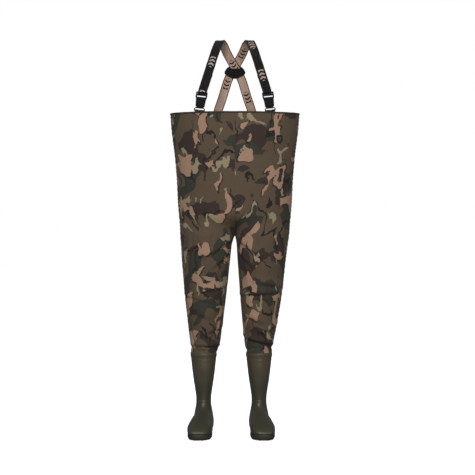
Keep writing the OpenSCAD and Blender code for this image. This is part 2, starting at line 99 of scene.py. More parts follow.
def make_stage():
    """White to the camera, softer on the object: a pale room, two lights in front and a weak one behind."""
    world = bpy.data.worlds.new("studio")
    world.use_nodes = True
    tree = world.node_tree
    seen, soft = tree.nodes["Background"], tree.nodes.new("ShaderNodeBackground")
    seen.inputs["Color"].default_value = (1, 1, 1, 1)
    soft.inputs["Color"].default_value = (0.97, 0.98, 1, 1)
    soft.inputs["Strength"].default_value = 0.17
    path, mix = tree.nodes.new("ShaderNodeLightPath"), tree.nodes.new("ShaderNodeMixShader")
    tree.links.new(path.outputs["Is Camera Ray"], mix.inputs[0])
    tree.links.new(soft.outputs[0], mix.inputs[1])
    tree.links.new(seen.outputs[0], mix.inputs[2])
    tree.links.new(mix.outputs[0], tree.nodes["World Output"].inputs["Surface"])
    bpy.context.scene.world = world
    bpy.context.scene.view_settings.view_transform = "Standard"
    area_light("key", (-0.6, -4.4, 3.2), (0, 0, 0.8), (1.0, 3.0), 126)
    area_light("fill", (1.3, -4.6, 1.7), (0, 0, 0.7), (1.1, 2.4), 50)
    area_light("back", (0.9, 4.2, 2.4), (0, 0, 0.9), (1.6, 1.6), 66).visible_glossy = False
    bm = bmesh.new()
    bmesh.ops.create_circle(bm, cap_ends=True, segments=64, radius=40)
    floor = paint(new_object("floor", bm_mesh(bm, "floor")), "floor")
    floor.visible_diffuse = False
    floor.visible_glossy = False


# ---- mesh helpers
def new_object(name, mesh):
    obj = bpy.data.objects.new(name, mesh)
    bpy.context.collection.objects.link(obj)
    return obj


def bm_mesh(bm, name):
    bmesh.ops.recalc_face_normals(bm, faces=bm.faces)
    mesh = bpy.data.meshes.new(name)
    bm.to_mesh(mesh)
    bm.free()
    return mesh


def smooth(obj):
    obj.data.polygons.foreach_set("use_smooth", [True] * len(obj.data.polygons))
    return obj


def paint(obj, *names):
    """Gives a mesh its materials, in place of any that it has."""
    obj.data.materials.clear()
    for name in names:
        obj.data.materials.append(MAT[name])
    return obj


def apply_modifiers(obj):
    graph = bpy.context.evaluated_depsgraph_get()
    mesh = bpy.data.meshes.new_from_object(obj.evaluated_get(graph))
    obj.modifiers.clear()
    obj.data = mesh
    return obj


def ease(t):
    t = np.clip(t, 0.0, 1.0)
    return t * t * (3 - 2 * t)


def bump(x, centre, width):
    """1 at centre, falling smoothly to 0 at width on either side."""
    return ease(1 - np.abs((x - centre) / width))


def cubic(values, at):
    """Rows of an array at fractional row numbers, on a smooth curve through them."""
    values, at = np.asarray(values, float), np.asarray(at, float)
    n = len(values)
    i = np.clip(np.floor(at).astype(int), 0, n - 2)
    t = (at - i).reshape([-1] + [1] * (values.ndim - 1))
    a, b = values[np.clip(i - 1, 0, n - 1)], values[i]
    c, d = values[i + 1], values[np.clip(i + 2, 0, n - 1)]
    return 0.5 * (2 * b + (c - a) * t + (2 * a - 5 * b + 4 * c - d) * t ** 2 + (3 * b - a - 3 * c + d) * t ** 3)


def resample(grid, rows_at, cols_at):
    """Values of a grid at fractional rows and columns."""
    grid = cubic(grid, rows_at)
    return cubic(grid.transpose(1, 0, 2), cols_at).transpose(1, 0, 2)


class Profile:
    """A smooth curve through a few (height, value) pairs."""

    def __init__(self, pairs, blur=0.06):
        pairs = sorted(pairs)
        self.z = np.arange(pairs[0][0] - 2 * blur, pairs[-1][0] + 2 * blur, 0.002)
        rough = np.interp(self.z, [p[0] for p in pairs], [p[1] for p in pairs])
        window = np.hanning(int(blur / 0.002) | 1)
        pad = len(window) // 2
        self.v = np.convolve(np.pad(rough, pad, mode="edge"), window / window.sum(), mode="valid")

    def __call__(self, z):
        return np.interp(z, self.z, self.v)


def run_of(points):
    """The distance along a line at each of its points."""
    return np.concatenate([[0], np.cumsum(np.linalg.norm(np.diff(points, axis=0), axis=1))])


def along(at, run, points):
    """Places on a line at given distances along it."""
    return np.stack([np.interp(at, run, points[:, k]) for k in range(3)], -1)


def even(points, pitch):
    """A smooth line through points, at an even pitch."""
    dense = cubic(points, np.linspace(0, len(points) - 1, 40 * len(points)))
    run = run_of(dense)
    return along(np.linspace(0, run[-1], max(2, int(round(run[-1] / pitch)) + 1)), run, dense)


def unit(v):
    return v / np.maximum(np.linalg.norm(v, axis=-1, keepdims=True), 1e-12)


def circle(count):
    """Angles evenly round a circle."""
    return np.linspace(0, 2 * np.pi, count, endpoint=False)


def mm(points):
    """Points written in millimetres, in metres."""
    return [tuple(v / 1000 for v in p) for p in points]


def mirrored(half):
    """A whole outline from its right half, which starts and ends on the middle line."""
    return half + [(-x, z) for x, z in reversed(half[1:-1])]


def loft(name, rings, closed=False, u=None, v=None):
    """A skin over rings of points, capped unless the last ring joins the first. u and v are the UV coordinates
    of the ring's points (one more than there are points) and of the rings."""
    rings = np.asarray(rings, float)
    n, m, _ = rings.shape
    faces, uvs = [], []
    for i in range(n if closed else n - 1):
        k = (i + 1) % n
        for j in range(m):
            q = (j + 1) % m
            faces.append((i * m + j, i * m + q, k * m + q, k * m + j))
            if u is not None:
                uvs += [(u[j], v[i]), (u[j + 1], v[i]), (u[j + 1], v[i + 1]), (u[j], v[i + 1])]
    if not closed:
        faces.append(tuple(range(m)))
        faces.append(tuple((n - 1) * m + j for j in reversed(range(m))))
        if u is not None:
            uvs += [(u[j], v[0]) for j in range(m)] + [(u[j], v[-1]) for j in reversed(range(m))]
    mesh = bpy.data.meshes.new(name)
    mesh.from_pydata(rings.reshape(-1, 3).tolist(), [], faces)
    if u is not None:
        mesh.uv_layers.new(name="cut").data.foreach_set("uv", np.asarray(uvs, float).ravel())
    bm = bmesh.new()
    bm.from_mesh(mesh)
    bmesh.ops.recalc_face_normals(bm, faces=bm.faces)
    bm.to_mesh(mesh)
    bm.free()
    return smooth(new_object(name, mesh))


def prism(name, outline, low, high):
    """A flat outline of (x, z) points, with depth from y = low to y = high, all in millimetres."""
    bm = bmesh.new()
    front, back = [[bm.verts.new((x / 1000, y / 1000, z / 1000)) for x, z in outline] for y in (low, high)]
    bm.faces.new(front)
    bm.faces.new(back[::-1])
    for i in range(len(outline)):
        k = (i + 1) % len(outline)
        bm.faces.new((front[i], front[k], back[k], back[i]))
    return new_object(name, bm_mesh(bm, name))


def rounded(w, z0, z1, r):
    """The outline of a rounded rectangle of width w between two heights."""
    points = []
    x = w / 2 - r
    for cx, cz, first in ((x, z0 + r, -90), (x, z1 - r, 0), (-x, z1 - r, 90), (-x, z0 + r, 180)):
        for k in range(7):
            a = math.radians(first + 15 * k)
            points.append((cx + r * math.cos(a), cz + r * math.sin(a)))
    return points


def cut(obj, *cutters):
    """Takes the cutters out of obj."""
    for cutter in cutters:
        mod = obj.modifiers.new("cut", "BOOLEAN")
        mod.operation = "DIFFERENCE"
        mod.solver = "EXACT"
        mod.object = cutter
    apply_modifiers(obj)
    for cutter in cutters:
        bpy.data.objects.remove(cutter)
    return obj


def bevelled(obj, width, segments=3):
    """Rounds the edges over. width is in millimetres."""
    mod = obj.modifiers.new("bevel", "BEVEL")
    mod.width = width / 1000
    mod.segments = segments
    mod.angle_limit = math.radians(35)
    mod.harden_normals = True
    smooth(obj)
    return apply_modifiers(obj)


def plate(outline, low, high, bevel, segments=3):
    return bevelled(prism("plate", outline, low, high), bevel, segments)


def joined(name, parts):
    """Several meshes as one object, with their materials."""
    bm = bmesh.new()
    slots = []
    for part in parts:
        first = len(bm.faces)
        mesh = part.data
        mesh.transform(part.matrix_world)
        bm.from_mesh(mesh)
        bm.faces.ensure_lookup_table()
        for face in bm.faces[first:]:
            material = mesh.materials[face.material_index] if mesh.materials else None
            if material not in slots:
                slots.append(material)
            face.material_index = slots.index(material)
        bpy.data.objects.remove(part)
    made = bpy.data.meshes.new(name)
    bm.to_mesh(made)
    bm.free()
    for material in slots:
        made.materials.append(material)
    return new_object(name, made)


def stitches(points, outs, pitch, length, radius=0.00035):
    """Short threads along a line, standing a little off the surface."""
    points, outs = np.asarray(points, float), unit(np.asarray(outs, float))
    run = run_of(points)
    bm = bmesh.new()
    for start in np.arange(pitch / 2, run[-1] - length, pitch):
        rings = []
        for share, size, up in ((0, 0.3, -0.5), (0.25, 1, 0.6), (0.75, 1, 0.6), (1, 0.3, -0.5)):
            at = start + length * share
            mid, out = along(at, run, points), unit(along(at, run, outs))
            step = along(at + 0.001, run, points) - mid
            across = unit(np.cross(step if np.any(step) else (1, 0, 0), out))
            mid = mid + out * (0.0002 + radius * up)
            rings.append([bm.verts.new(mid + (across * np.cos(a) + out * np.sin(a)) * radius * size)
                          for a in circle(6)])
        for a, b in zip(rings, rings[1:]):
            for j in range(6):
                bm.faces.new((a[j], a[(j + 1) % 6], b[(j + 1) % 6], b[j]))
        bm.faces.new(rings[0][::-1])
        bm.faces.new(rings[-1])
    return paint(smooth(new_object("stitches", bm_mesh(bm, "stitches"))), "thread")


def place(obj, body, slot_name, *nodes):
    """Gives a finished piece its body and hides the CAD nodes that it stands for. slot_name, its material slot,
    is not used.
    """
    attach(obj, body)
    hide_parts(*nodes)


# ---- material helpers
class Nodes:
    """Short forms for building a material's node tree."""

    def __init__(self, name):
        self.material = bpy.data.materials.new(name)
        self.material.use_nodes = True
        self.tree = self.material.node_tree
        self.tree.nodes.clear()
        self.out = self.add("ShaderNodeOutputMaterial")
        self.shader = self.add("ShaderNodeBsdfPrincipled")
        self.link(self.shader.outputs[0], self.out.inputs[0])

    def add(self, kind, values=(), **settings):
        """A node with its settings. values are its inputs, each a number, a colour or another node's output."""
        node = self.tree.nodes.new(kind)
        for key, value in settings.items():
            setattr(node, key, value)
        for key, value in dict(values).items():
            self.put(node.inputs[key], value)
        return node

    def link(self, a, b):
        self.tree.links.new(a, b)

    def put(self, socket, value):
        if hasattr(value, "is_output"):
            self.link(value, socket)
        else:
            socket.default_value = value

    def set(self, **values):
        names = {"color": "Base Color", "rough": "Roughness", "spec": "Specular IOR Level",
                 "sheen": "Sheen Weight", "sheen_rough": "Sheen Roughness", "normal": "Normal",
                 "glow": "Emission Color", "glow_strength": "Emission Strength"}
        for key, value in values.items():
            self.put(self.shader.inputs[names[key]], value)

    def math(self, op, a, b=0.0, c=0.0):
        return self.add("ShaderNodeMath", {0: a, 1: b, 2: c}, operation=op).outputs[0]

    def vary(self, value, by, base):
        return self.math("MULTIPLY_ADD", value, by, base)

    def both(self, a, b):
        return self.math("MULTIPLY", a, b)

    def size(self, value):
        return self.math("ABSOLUTE", value)

    def less(self, value):
        """What is left of 1."""
        return self.math("SUBTRACT", 1.0, value)

    def add_up(self, a, b):
        return self.add("ShaderNodeVectorMath", {0: a, 1: b}, operation="ADD").outputs[0]

    def subtract(self, a, b):
        return self.add("ShaderNodeVectorMath", {0: a, 1: b}, operation="SUBTRACT").outputs[0]

    def scaled(self, vector, by):
        return self.add("ShaderNodeVectorMath", {0: vector, "Scale": by}, operation="SCALE").outputs[0]

    def shade(self, color, value, by, base):
        """A colour made darker and lighter as value changes."""
        return self.scaled(color, self.vary(value, by, base))

    def uv(self):
        return self.add("ShaderNodeUVMap", uv_map="cut").outputs[0]

    def object_place(self):
        return self.add("ShaderNodeTexCoord").outputs["Object"]

    def split(self, vector):
        return self.add("ShaderNodeSeparateXYZ", {0: vector}).outputs

    def mapping(self, vector, offset=(0, 0, 0), turn=0.0, stretch=1.0):
        values = {0: vector, "Location": offset, "Rotation": (0, 0, math.radians(turn)),
                  "Scale": (1, stretch, 1)}
        return self.add("ShaderNodeMapping", values).outputs[0]

    def noise(self, vector, scale, detail=2.0, rough=0.5, output="Fac"):
        values = {"Vector": vector, "Scale": scale, "Detail": detail, "Roughness": rough}
        return self.add("ShaderNodeTexNoise", values, noise_dimensions="3D").outputs[output]

    def wave(self, vector, direction, scale, distortion=0.0, detail=2.0):
        """Parallel threads or ribs."""
        values = {"Vector": vector, "Scale": scale, "Distortion": distortion, "Detail": detail}
        settings = {"wave_type": "BANDS", "bands_direction": direction, "wave_profile": "SIN"}
        return self.add("ShaderNodeTexWave", values, **settings).outputs["Fac"]

    def step(self, value, low, high):
        """0 below low, 1 above high."""
        values = {"Value": value, "From Min": low, "From Max": high}
        return self.add("ShaderNodeMapRange", values, interpolation_type="SMOOTHSTEP").outputs[0]

    def mix(self, fac, a, b):
        a, b = [c if hasattr(c, "is_output") else (*c, 1) for c in (a, b)]
        return self.add("ShaderNodeMix", {"Factor": fac, "A": a, "B": b}, data_type="RGBA").outputs["Result"]

    def bumps(self, height, distance, strength, normal=None):
        values = {"Strength": strength, "Distance": distance, "Height": height}
        if normal is not None:
            values["Normal"] = normal
        return self.add("ShaderNodeBump", values).outputs[0]


def make_floor_material():
    """Paper as bright as the studio behind it."""
    m = Nodes("floor")
    cloud = m.noise(m.object_place(), 0.7)
    m.set(color=m.mix(cloud, (0.9, 0.9, 0.9), (0.94, 0.94, 0.94)), rough=0.7, spec=0.2)
    m.set(glow=(1, 1, 1, 1), glow_strength=0.88)
    return m.material


# Colours of the camouflage print, linear
OLIVE = (0.106, 0.076, 0.047)
BROWN = (0.046, 0.031, 0.026)
GREEN = (0.042, 0.044, 0.032)
TAN = (0.375, 0.232, 0.155)
KHAKI = (0.3, 0.245, 0.16)
INK = (0.02, 0.016, 0.013)


def camo_color(m, place):
    """The print: crisp pointed patches of four inks on olive, with dark lines drawn beside the light ones."""
    warped = place
    for scale, detail, reach in ((11, 3, 0.075), (46, 2, 0.013)):
        pull = m.subtract(m.noise(place, scale, detail, output="Color"), (0.5, 0.5, 0.5))
        warped = m.add_up(warped, m.scaled(pull, reach))

    def field(offset, turn, stretch, scale, moved=(0, 0, 0)):
        at = m.add_up(warped, moved)
        return m.noise(m.mapping(at, (*offset, 0), turn, stretch), scale, 0.6, 0.4)

    def above(level, *where, moved=(0, 0, 0)):
        value = field(*where, moved=moved)
        return m.step(value, level, level + 0.004)

    def band(half, *where, moved=(0, 0, 0)):
        away = m.size(m.math("SUBTRACT", field(*where, moved=moved), 0.5))
        return m.less(m.step(away, half, half + 0.004))

    def tan_shapes(moved, grow):
        strokes = m.both(band(0.042 + grow, (1.3, 9.4), -34, 0.62, 12.0, moved=moved),
                         above(0.562 - grow, (9.1, 0.7), 30, 0.8, 10.5, moved=moved))
        blobs = above(0.672 - grow, (6.2, 3.9), -42, 0.6, 15.0, moved=moved)
        return m.math("MAXIMUM", strokes, blobs)

    green = m.both(above(0.535, (3.1, 0.2), 24, 0.8, 9.0), above(0.455, (0.4, 7.3), -15, 0.9, 10.0))
    brown = m.both(above(0.545, (7.7, 4.2), -28, 0.7, 10.5), above(0.465, (2.6, 5.8), 50, 0.8, 9.5))
    khaki = m.both(band(0.034, (5.9, 6.1), 52, 0.5, 15.0), above(0.6, (1.8, 2.2), 0, 1, 12.0))
    twig = m.both(band(0.012, (4.4, 2.8), 38, 0.5, 12.0), above(0.5, (8.3, 3.3), 10, 0.8, 9.0))
    color = m.mix(green, OLIVE, GREEN)
    color = m.mix(brown, color, BROWN)
    color = m.mix(twig, color, INK)
    color = m.mix(tan_shapes((0.0045, 0.004, 0), 0.01), color, m.mix(green, BROWN, INK))
    color = m.mix(khaki, color, KHAKI)
    return m.mix(tan_shapes((0, 0, 0), 0.0), color, TAN)


def make_camo():
    """Printed polyester: plain weave, faint puckers, slightly worn print. u runs round a panel, v up it."""
    m = Nodes("camo_cloth")
    place = m.uv()
    mottle = m.noise(place, 160, 3, 0.6)
    weft, warp = [m.wave(place, direction, 340, 0.6, 1) for direction in ("X", "Y")]
    weave = m.math("MAXIMUM", weft, warp)
    color = m.shade(camo_color(m, place), mottle, 0.3, 0.86)
    normal = m.bumps(weave, 0.0003, 0.35, m.bumps(m.noise(place, 26, 3, 0.55), 0.0022, 0.35))
    m.set(color=m.shade(color, weave, 0.16, 0.9), rough=m.vary(mottle, 0.12, 0.72), normal=normal)
    m.set(spec=0.22, sheen=0.06, sheen_rough=0.5)
    return m.material


def make_tape(name, color, rough):
    """Ribbed binding or sealing tape. u runs across it, v along it."""
    m = Nodes(name)
    place = m.uv()
    ribs = m.wave(place, "Y", 260, 0.4)
    grain = m.noise(place, 500, 2, 0.6)
    color = m.mix(grain, [c * 0.8 for c in color], [c * 1.25 for c in color])
    m.set(color=m.shade(color, ribs, 0.3, 0.75), rough=rough, spec=0.25, normal=m.bumps(ribs, 0.0004, 0.6))
    return m.material


def make_pvc():
    """Moulded PVC of the boots: satin, a fine mould grain, darker and greener low down as painted shade from
    the lighting, with faint rubbed streaks.
    """
    m = Nodes("boot_pvc")
    place = m.object_place()
    height = m.split(place)[2]
    cloud = m.noise(place, 16, 4, 0.55)
    scuff = m.step(m.noise(m.mapping(place, stretch=0.25), 60, 5, 0.7), 0.6, 0.78)
    # painted shade: the colour is darker and greener below 0.17 m and lighter above 0.3 m, standing in for the
    # dimmer light on the feet
    color = m.mix(m.step(height, 0.17, 0.3), (0.054, 0.053, 0.033), (0.086, 0.07, 0.043))
    color = m.mix(m.both(scuff, 0.1), m.shade(color, cloud, 0.35, 0.82), (0.16, 0.15, 0.11))
    rough = m.math("ADD", m.vary(cloud, 0.2, 0.27), m.both(scuff, 0.12))
    normal = m.bumps(m.noise(place, 70, 3), 0.0009, 0.25)
    m.set(color=color, rough=rough, spec=0.4, normal=m.bumps(m.noise(place, 900), 0.0002, 0.35, normal))
    return m.material


def make_leather():
    m = Nodes("patch_leather")
    place = m.object_place()
    cell = m.add("ShaderNodeTexVoronoi", {"Vector": place, "Scale": 750}, feature="DISTANCE_TO_EDGE")
    pebble = m.step(cell.outputs["Distance"], 0.0, 0.25)
    cloud = m.noise(place, 90, 3)
    m.set(color=m.mix(cloud, (0.005, 0.005, 0.004), (0.011, 0.01, 0.009)), spec=0.12)
    m.set(rough=m.vary(cloud, 0.2, 0.42), normal=m.bumps(pebble, 0.0004, 0.5))
    return m.material


def make_thread():
    m = Nodes("thread")
    m.set(color=m.mix(m.noise(m.object_place(), 900), (0.012, 0.011, 0.01), (0.045, 0.04, 0.034)), rough=0.7)
    return m.material


def make_grained(name, dark, light, grain, cloud, rough, spec, relief, cloth=False, sheen=0.0):
    """A cloudy colour under a fine grain. grain and cloud are the scale, detail and roughness of a noise. rough
    is a number, or which of the two changes it, by how much and from what. relief is the grain's depth and
    strength."""
    m = Nodes(name)
    place = m.uv() if cloth else m.object_place()
    fields = {"grain": m.noise(place, *grain), "cloud": m.noise(place, *cloud)}
    if isinstance(rough, tuple):
        rough = m.vary(fields[rough[0]], *rough[1:])
    m.set(color=m.mix(fields["cloud"], dark, light), rough=rough, spec=spec, sheen=sheen)
    m.set(normal=m.bumps(fields["grain"], *relief))
    return m.material


def make_rubber(name, dark, light):
    return make_grained(name, dark, light, (900, 2), (150, 3), ("grain", 0.2, 0.45), 0.35, (0.0002, 0.4))


def chevrons(m, along, across, phase):
    """A woven motif: three chevrons in a row, once every 150 mm along the band."""
    at = m.math("MODULO", m.math("ADD", along, 1.5 + phase), 0.15)
    inside = m.both(m.step(at, 0.012, 0.0122), m.less(m.step(at, 0.06, 0.0602)))
    slope = m.vary(m.size(across), 0.55, at)
    bars = m.step(m.math("MODULO", slope, 0.016), 0.0085, 0.0088)
    near = m.less(m.step(m.size(across), 0.0112, 0.0115))
    return m.both(m.both(inside, bars), near)


def make_webbing(name, dark, light, mark, phase):
    """Elastic webbing: ribs, a fine diagonal and dark edges. u runs across from the middle, v along."""
    m = Nodes(name)
    place = m.uv()
    across, along, _ = m.split(place)
    weave = m.vary(m.wave(place, "Y", 170), 0.6, m.both(m.wave(place, "DIAGONAL", 320), 0.4))
    edge = m.step(m.size(across), WEB_W / 2 - 0.0036, WEB_W / 2 - 0.0033)
    blot = m.step(m.noise(m.mapping(place, stretch=0.6), 42), 0.55, 0.57)
    color = m.mix(chevrons(m, along, across, phase), m.mix(blot, dark, light), mark)
    color = m.shade(m.mix(edge, color, (0.03, 0.026, 0.025)), weave, 0.45, 0.68)
    color = m.shade(color, m.noise(place, 60, 3), 0.3, 0.85)
    m.set(color=color, rough=0.85, spec=0.15, sheen=0.1, normal=m.bumps(weave, 0.0006, 0.7))
    return m.material


MAT = {
    "floor": make_floor_material(),
    "camo": make_camo(),
    "lining": make_grained("coated_inside", (0.06, 0.062, 0.053), (0.085, 0.087, 0.075), (420, 3, 0.6), (9, 3),
                           ("grain", 0.2, 0.42), 0.4, (0.0004, 0.4), cloth=True),
    "pvc": make_pvc(),
    "sole": make_grained("boot_sole", (0.042, 0.041, 0.026), (0.056, 0.054, 0.034), (600, 3, 0.6), (25, 4, 0.6),
                         ("cloud", 0.25, 0.5), 0.3, (0.0003, 0.5)),
    "plastic": make_grained("buckle_acetal", (0.005, 0.005, 0.005), (0.009, 0.009, 0.009), (1500, 2), (120, 3),
                            ("grain", 0.2, 0.36), 0.14, (0.00012, 0.4)),
    "leather": make_leather(),
    "insole": make_grained("insole_knit", (0.16, 0.155, 0.14), (0.24, 0.235, 0.21), (480, 2), (22, 3),
                           0.92, 0.1, (0.0008, 0.7), sheen=0.2),
    "thread": make_thread(),
    "rubber": make_rubber("badge_rubber", (0.012, 0.012, 0.011), (0.022, 0.021, 0.019)),
    "badge_mark": make_rubber("badge_mark", (0.1, 0.095, 0.08), (0.15, 0.14, 0.12)),
    "binding": make_tape("hem_tape", (0.046, 0.04, 0.03), 0.8),
    "seal_tape": make_tape("seam_tape", (0.075, 0.075, 0.068), 0.5),
    "web_outer": make_webbing("webbing_outer", (0.014, 0.012, 0.012), (0.024, 0.02, 0.019), (0.56, 0.46, 0.36),
                              0.03),
    "web_inner": make_webbing("webbing_inner", (0.6, 0.405, 0.31), (0.65, 0.45, 0.345), (0.03, 0.025, 0.022),
                              0.075),
}

# ---- the fabric body
TORSO_HW = Profile([(0.836, 0.229), (0.903, 0.233), (0.973, 0.239), (1.073, 0.2435), (1.173, 0.252),
                    (1.273, 0.2655), (HEM_Z, 0.271)])
TORSO_HD = Profile([(0.836, 0.121), (0.973, 0.125), (1.173, 0.128), (1.273, 0.133), (HEM_Z, 0.135)])
LEG_HW = {
    -1: Profile([(0.338, 0.0545), (0.37, 0.0535), (0.4, 0.0558), (0.45, 0.0615), (0.5, 0.068), (0.576, 0.0795),
                 (0.651, 0.089), (0.727, 0.099), (0.8, 0.105), (0.84, 0.1145)], 0.03),
    1: Profile([(0.338, 0.0545), (0.37, 0.0535), (0.4, 0.056), (0.45, 0.065), (0.5, 0.073), (0.576, 0.0865),
                (0.651, 0.094), (0.727, 0.101), (0.8, 0.106), (0.84, 0.114)], 0.03),
}
LEG_HD = Profile([(0.338, 0.0605), (0.37, 0.0605), (0.4, 0.065), (0.45, 0.076), (0.53, 0.088), (0.651, 0.098),
                  (0.735, 0.109), (0.84, 0.121)], 0.05)
LEG_X = {
    -1: Profile([(0.338, -0.131), (0.45, -0.13), (0.576, -0.126), (0.727, -0.1215), (0.8, -0.119),
                 (0.84, -0.1151)], 0.03),
    1: Profile([(0.338, 0.101), (0.45, 0.107), (0.576, 0.107), (0.727, 0.109), (0.8, 0.114),
                (0.84, 0.1151)], 0.03),
}


def body_points(side, turn, z):
    """Points of one half of the body. turn is 0 to 1 from the front seam round the side to the back seam."""
    leg_turn = 2 * np.pi * turn
    torso_turn = np.pi * turn
    hw, hd = LEG_HW[side](z), LEG_HD(z)
    leg_y = MID_Y - hd * np.sin(leg_turn)
    leg = np.stack([LEG_X[side](z) - side * hw * np.cos(leg_turn), leg_y, z + 0 * turn], -1)
    width, depth = TORSO_HW(z), TORSO_HD(z)
    torso_y = MID_Y - depth * np.cos(torso_turn)
    torso = np.stack([side * width * np.sin(torso_turn), torso_y, z + 0 * turn], -1)
    part = ease((z - CROTCH_Z) / RISE) ** 0.65
    part = part[..., None] if np.ndim(part) else part
    return leg * (1 - part) + torso * part


def body_grid(side, rows, cols):
    turn = np.linspace(0, 1, cols)[None, :].repeat(len(rows), 0)
    z = np.asarray(rows)[:, None].repeat(cols, 1)
    return body_points(side, turn, z)


def grid_rows(z0, z1, pitch):
    return np.linspace(z0, z1, int(round((z1 - z0) / pitch)) + 1)


def grid_normals(grid, side):
    return unit(np.cross(np.gradient(grid, axis=1), np.gradient(grid, axis=0)) * side)


def grid_faces(rows, cols, flip):
    faces = []
    for r in range(rows - 1):
        for c in range(cols - 1):
            a = r * cols + c
            quad = (a, a + 1, a + cols + 1, a + cols)
            faces.append(quad[::-1] if flip else quad)
    return faces


SIM_PITCH = 0.0075
SIM_COLS = 88
SIM_TOP = 0.95
SIM_FRAMES = 34
SLACK = [(0.35, 0.43, 0.3), (0.43, 0.66, 0.12), (0.66, 0.82, 0.06)]      # from, to, share of extra length
CLOTH = {"quality": 7, "mass": 0.25, "tension_stiffness": 40, "compression_stiffness": 40,
         "shear_stiffness": 18, "bending_stiffness": 0.9, "tension_damping": 12, "compression_damping": 12,
         "shear_damping": 12, "bending_damping": 1, "vertex_group_mass": "pins", "pin_stiffness": 0.6,
         "use_pressure": True, "uniform_pressure_force": 0.7}


def slack_height(z):
    """Height that a point of the cloth would have if the leg hung at its cut length."""
    extra = 0 * z
    for low, high, share in SLACK:
        extra = extra + share * (np.clip(z, low, high) - high)
    return z + extra


def simulate_leg(side, grid):
    """The cloth settles on its own extra length: blousing over the boot, creasing at the knee."""
    rows, cols, _ = grid.shape
    mesh = bpy.data.meshes.new("leg_sim")
    mesh.from_pydata(grid.reshape(-1, 3).tolist(), [], grid_faces(rows, cols, side > 0))
    obj = new_object("leg_sim", mesh)
    z = grid[..., 2].ravel()
    turn = np.linspace(0, 1, cols)[None, :].repeat(rows, 0).ravel()
    seam = np.minimum(turn, 1 - turn)
    hold = np.maximum(ease((z - 0.8) / 0.12), 1 - ease((z - 0.348) / 0.012))
    hold = np.maximum(hold, ease((z - 0.76) / 0.06) * (1 - ease((seam - 0.03) / 0.1)))
    pins = obj.vertex_groups.new(name="pins")
    for i, w in enumerate(hold):
        pins.add([i], float(max(0.02, w)), "REPLACE")
    obj.shape_key_add(name="Basis")
    cut_length = obj.shape_key_add(name="cut")
    flat = grid.reshape(-1, 3).copy()
    flat[:, 2] = slack_height(z)
    cut_length.data.foreach_set("co", flat.ravel())
    mod = obj.modifiers.new("cloth", "CLOTH")
    for key, value in CLOTH.items():
        setattr(mod.settings, key, value)
    mod.settings.rest_shape_key = cut_length
    mod.settings.effector_weights.gravity = 0.6
    mod.collision_settings.use_collision = False
    mod.point_cache.frame_start = 1
    mod.point_cache.frame_end = SIM_FRAMES
    scene = bpy.context.scene
    for f in range(1, SIM_FRAMES + 1):
        scene.frame_set(f)
    made = obj.evaluated_get(bpy.context.evaluated_depsgraph_get()).to_mesh()
    co = np.empty(len(made.vertices) * 3)
    made.vertices.foreach_get("co", co)
    scene.frame_set(1)
    bpy.data.objects.remove(obj)
    return co.reshape(rows, cols, 3)


def settled_half(side):
    """One half of the body as a grid, with the leg's cloth simulated, and its rows' heights."""
    low = grid_rows(CUFF_Z, SIM_TOP, SIM_PITCH)
    high = grid_rows(SIM_TOP, HEM_Z, SIM_PITCH)[1:]
    leg = body_grid(side, low, SIM_COLS)
    start = leg.copy()
    leg = simulate_leg(side, leg)
    turn = np.linspace(0, 1, SIM_COLS)
    beside = 1 - ease((np.minimum(turn, 1 - turn) - 0.01) / 0.07)
    sewn = beside[None, :] * ease((low - 0.79) / 0.045)[:, None]
    free = (1 - sewn) * (1 - ease((low - 0.84) / 0.09))[:, None]
    leg = start + (leg - start) * free[..., None]
    middle = (leg[:, 0] + leg[:, -1]) / 2
    joined = low < CROTCH_Z + 0.001
    leg[joined, 0] = middle[joined]
    leg[joined, -1] = middle[joined]
    return np.concatenate([leg, body_grid(side, high, SIM_COLS)]), np.concatenate([low, high])


def seam_turns():
    """Column places, 0 to 1, with extra columns beside the seams at 0, 0.5 and 1."""
    close = [0, 0.004, 0.009, 0.016]
    half = close + list(np.linspace(0.028, 0.472, 44)) + [0.5 - c for c in reversed(close)]
    return np.array(half + [0.5 + h for h in half[1:]])


# Folds pressed into the cloth: side (0 both), middle as a turn, reach, height, rise per turn, width, depth
FOLDS = [
    (-1, 0.22, 0.36, 0.374, 0.01, 0.011, 0.0064), (-1, 0.3, 0.24, 0.358, -0.03, 0.007, 0.0036),
    (1, 0.24, 0.36, 0.392, -0.085, 0.013, 0.0084), (1, 0.12, 0.22, 0.364, 0.06, 0.008, 0.004),
    (-1, 0.74, 0.34, 0.38, 0.05, 0.012, 0.0056), (1, 0.76, 0.34, 0.376, -0.04, 0.012, 0.0058),
    (-1, 0.2, 0.26, 0.606, -0.11, 0.013, 0.005), (-1, 0.34, 0.22, 0.572, 0.12, 0.012, 0.0042),
    (1, 0.22, 0.32, 0.59, 0.03, 0.012, 0.006), (1, 0.34, 0.22, 0.625, -0.1, 0.014, 0.0042),
    (0, 0.72, 0.26, 0.6, 0.08, 0.013, 0.005), (0, 0.8, 0.22, 0.568, -0.12, 0.012, 0.0042),
    (0, 0.68, 0.2, 0.636, -0.14, 0.014, 0.0034), (0, 0.16, 0.16, 0.775, -0.42, 0.018, 0.0058),
    (0, 0.13, 0.12, 0.73, -0.52, 0.016, 0.0044), (0, 0.85, 0.15, 0.77, 0.42, 0.018, 0.0046),
    (-1, 0.3, 0.2, 0.5, 0.16, 0.02, 0.004), (1, 0.18, 0.2, 0.48, -0.17, 0.02, 0.0042),
    (-1, 0.12, 0.18, 0.436, -0.12, 0.016, 0.0044), (1, 0.36, 0.18, 0.44, 0.14, 0.016, 0.0044),
]


